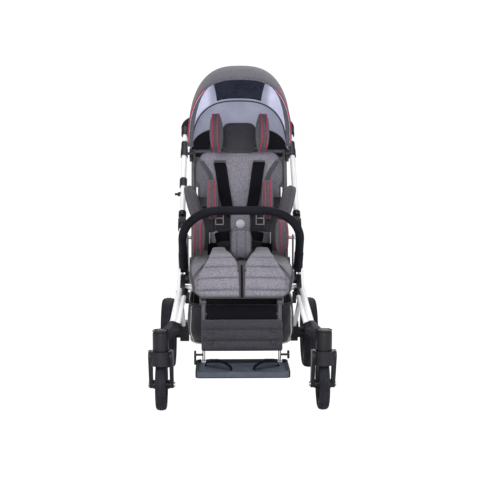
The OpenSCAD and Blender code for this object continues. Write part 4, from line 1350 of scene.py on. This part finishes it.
class BUGGY_OT_foot_straps(BuggyStep, bpy.types.Operator):
    """Looped webbing straps on the footplate"""

    bl_idname = "buggy.foot_straps"
    bl_label = "Foot straps"

    middle_x = 0.084
    span, skew, rise = 0.047, 0.03, 0.024

    def execute(self, context):
        low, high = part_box("foot_straps")
        middle_y = (low.y + high.y) / 2
        base = low.z + 0.001
        for side, s in HANDS:
            half = Vector((-0.0025 * s, 0.0125, 0.0))
            stations = [(Vector((s * self.middle_x + self.span * math.cos(g), middle_y + self.skew * math.cos(g) * s,
                                 base + self.rise * math.sin(g))), half) for g in steps(0, math.pi, 8)]
            made = piece(f"foot_strap_{side}", strap_bm(stations, 4, 6, 0.0024), "footplate", "webbing", "webbing")
            subdivided(made)
            if s < 0:
                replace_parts(made, "foot_straps")
        return {"FINISHED"}


class BUGGY_OT_tyres(BuggyStep, bpy.types.Operator):
    """Tyres with tread grooves and shoulder notches"""

    bl_idname = "buggy.tyres"
    bl_label = "Tyres"

    # Half the section, as shares of half the width and of the tyre's depth
    crown = ((-0.92, 0.26), (-1.0, 0.44), (-0.98, 0.6), (-0.89, 0.74), (-0.75, 0.85), (-0.59, 0.915), (-0.5, 0.94),
             (-0.46, 0.9), (-0.38, 0.9), (-0.34, 0.967), (-0.12, 1.0), (-0.06, 0.955))
    bead = 0.72
    notch = 0.022
    wheels = (("front", 36, 0.765), ("rear", 48, 0.775))

    def tyre(self, node, joint, notches, inner):
        """One tyre about its axle. inner is its inside radius as a share of the outside one."""
        low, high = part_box(node)
        r1 = (high.z - low.z) / 2 / MM
        w = (high.x - low.x) / 2 / MM
        r0 = r1 * inner
        deep = r1 - r0
        profile = [(r0, -self.bead * w)]
        profile += [(r0 + deep * h, x * w) for x, h in self.crown]
        profile += [(r0 + deep * h, -x * w) for x, h in reversed(self.crown)]
        profile += [(r0, self.bead * w), profile[0]]
        bm = turned(profile, Matrix.Identity(4), notches * 3)
        for vert in bm.verts:
            spot = round(math.atan2(vert.co.y, vert.co.x) / TURN * notches * 3)
            x = abs(vert.co.z) / MM / w
            if spot % 3 == 0 and 0.55 < x < 0.97 and math.hypot(vert.co.x, vert.co.y) / MM > r0 + deep * 0.6:
                vert.co.x *= 1 - self.notch
                vert.co.y *= 1 - self.notch
        turn = Matrix.Translation(pivot(joint)) @ Matrix.Rotation(QUARTER, 4, "Y")
        bmesh.ops.transform(bm, matrix=turn, verts=bm.verts)
        return bm

    def execute(self, context):
        for end, notches, inner in self.wheels:
            for side in ("left", "right"):
                node = f"{end}_tyre_{side}"
                bm = self.tyre(node, f"{end}_spin_{side}", notches, inner)
                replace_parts(piece(f"{node}_tread", bm, f"{end}_wheel_{side}", "rubber", "tyre"), node)
        return {"FINISHED"}


class BUGGY_OT_fittings(BuggyStep, bpy.types.Operator):
    """Rings on the caster housings"""

    bl_idname = "buggy.fittings"
    bl_label = "Fittings"

    below_top = 0.024

    def execute(self, context):
        for side in ("left", "right"):
            top = pivot(f"caster_swivel_{side}")
            top.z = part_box(f"caster_housing_{side}")[1].z - self.below_top
            ring = turned([(27.6, 0), (28.6, 0.5), (28.6, 3.4), (27.6, 4)], Matrix.Translation(top))
            fitting(f"caster_ring_{side}", ring, "chassis")
        return {"FINISHED"}


class BUGGY_OT_stage(BuggyStep, bpy.types.Operator):
    """Pale floor, soft studio light and the camera"""

    bl_idname = "buggy.stage"
    bl_label = "Stage"

    camera_at = (-0.076, -3.858, 1.020)
    camera_pitch = 6.86
    camera_yaw = 1.13
    focal_px = 998.5
    image_px = 480
    sensor = 36.0
    aim = Vector((0, 0, 0.6))
    # Name, place, size in metres and watts
    lamps = (("key", (-2.4, -3.0, 3.4), 2.6, 95), ("fill", (3.0, -2.6, 2.2), 2.6, 58),
             ("top", (0.0, 0.2, 3.6), 2.4, 40), ("rim", (0.6, 3.4, 2.6), 2.4, 50),
             ("front", (-0.1, -5.2, 1.5), 3.0, 90))

    def execute(self, context):
        self.camera(context)
        self.floor(context)
        self.light(context)
        context.scene.view_settings.view_transform = "Standard"
        return {"FINISHED"}

    def camera(self, context):
        data = bpy.data.cameras.new("camera")
        data.sensor_width = self.sensor
        data.lens = self.focal_px / self.image_px * self.sensor
        data.clip_end = 60
        made = bpy.data.objects.new("camera", data)
        made.location = self.camera_at
        made.rotation_euler = (math.radians(90 - self.camera_pitch), 0, math.radians(-self.camera_yaw))
        context.scene.collection.objects.link(made)
        context.scene.camera = made

    def floor(self, context):
        """A wide disc that glows to the camera, so that it meets the white ground without an edge."""
        bm = bmesh.new()
        bmesh.ops.create_circle(bm, cap_ends=True, radius=14.0, segments=64)
        mesh = bpy.data.meshes.new("floor")
        bm.to_mesh(mesh)
        bm.free()
        made = bpy.data.objects.new("floor", mesh)
        context.scene.collection.objects.link(made)
        f = Finish("studio_floor", context.scene.buggy_colours.floor, 0.7, {"Specular IOR Level": 0.1})
        rays = f.node("ShaderNodeLightPath", out="Is Camera Ray")
        glow = f.node("ShaderNodeEmission", None, {"Color": (1, 1, 1, 1), "Strength": 1.15})
        part = f.node("ShaderNodeMixShader", None, {0: rays * 0.88, 1: Value(f, f.shader.outputs[0]), 2: glow})
        f.tree.links.new(part.socket, f.tree.nodes["Material Output"].inputs["Surface"])
        mesh.materials.append(f.material)

    def light(self, context):
        """White surroundings, brighter to the camera than to the buggy, and the lamps."""
        world = bpy.data.worlds.new("studio")
        world.use_nodes = True
        context.scene.world = world
        tree = world.node_tree
        path = tree.nodes.new("ShaderNodeLightPath")
        level = tree.nodes.new("ShaderNodeMath")
        level.operation = "MULTIPLY_ADD"
        level.inputs[1].default_value = 0.6
        level.inputs[2].default_value = 0.45
        tree.links.new(path.outputs["Is Camera Ray"], level.inputs[0])
        back = tree.nodes["Background"]
        back.inputs["Color"].default_value = (1, 1, 1, 1)
        tree.links.new(level.outputs[0], back.inputs["Strength"])
        for name, at, size, watts in self.lamps:
            data = bpy.data.lights.new(name, "AREA")
            data.size = size
            data.energy = watts
            lamp = bpy.data.objects.new(name, data)
            lamp.location = at
            lamp.rotation_euler = (self.aim - Vector(at)).to_track_quat("-Z", "Y").to_euler()
            context.scene.collection.objects.link(lamp)


STEPS = (BUGGY_OT_stage, BUGGY_OT_finishes, BUGGY_OT_seat_cushion, BUGGY_OT_back_cushion, BUGGY_OT_side_pads,
         BUGGY_OT_head_pad, BUGGY_OT_side_wings, BUGGY_OT_pommel, BUGGY_OT_harness, BUGGY_OT_canopy, BUGGY_OT_basket,
         BUGGY_OT_leg_rest, BUGGY_OT_foot_straps, BUGGY_OT_tyres, BUGGY_OT_fittings)


class BUGGY_PT_steps(bpy.types.Panel):
    """The buggy's pieces, in the order that they are built"""

    bl_idname = "BUGGY_PT_steps"
    bl_label = "Special needs buggy"
    bl_space_type = "VIEW_3D"
    bl_region_type = "UI"
    bl_category = "Buggy"

    def draw(self, context):
        for step in STEPS:
            self.layout.operator(step.bl_idname)
        for group in (context.scene.buggy_colours, context.scene.buggy_sizes):
            for key in group.__annotations__:
                self.layout.prop(group, key)


CLASSES = (BuggyColours, BuggySizes, *STEPS, BUGGY_PT_steps)


def register():
    for cls in CLASSES:
        bpy.utils.register_class(cls)
    bpy.types.Scene.buggy_colours = PointerProperty(type=BuggyColours)
    bpy.types.Scene.buggy_sizes = PointerProperty(type=BuggySizes)


def unregister():
    del bpy.types.Scene.buggy_sizes
    del bpy.types.Scene.buggy_colours
    for cls in reversed(CLASSES):
        bpy.utils.unregister_class(cls)


def main():
    """Builds every piece in order."""
    register()
    for step in STEPS:
        group, name = step.bl_idname.split(".")
        getattr(getattr(bpy.ops, group), name)()


if __name__ == "__main__":
    main()
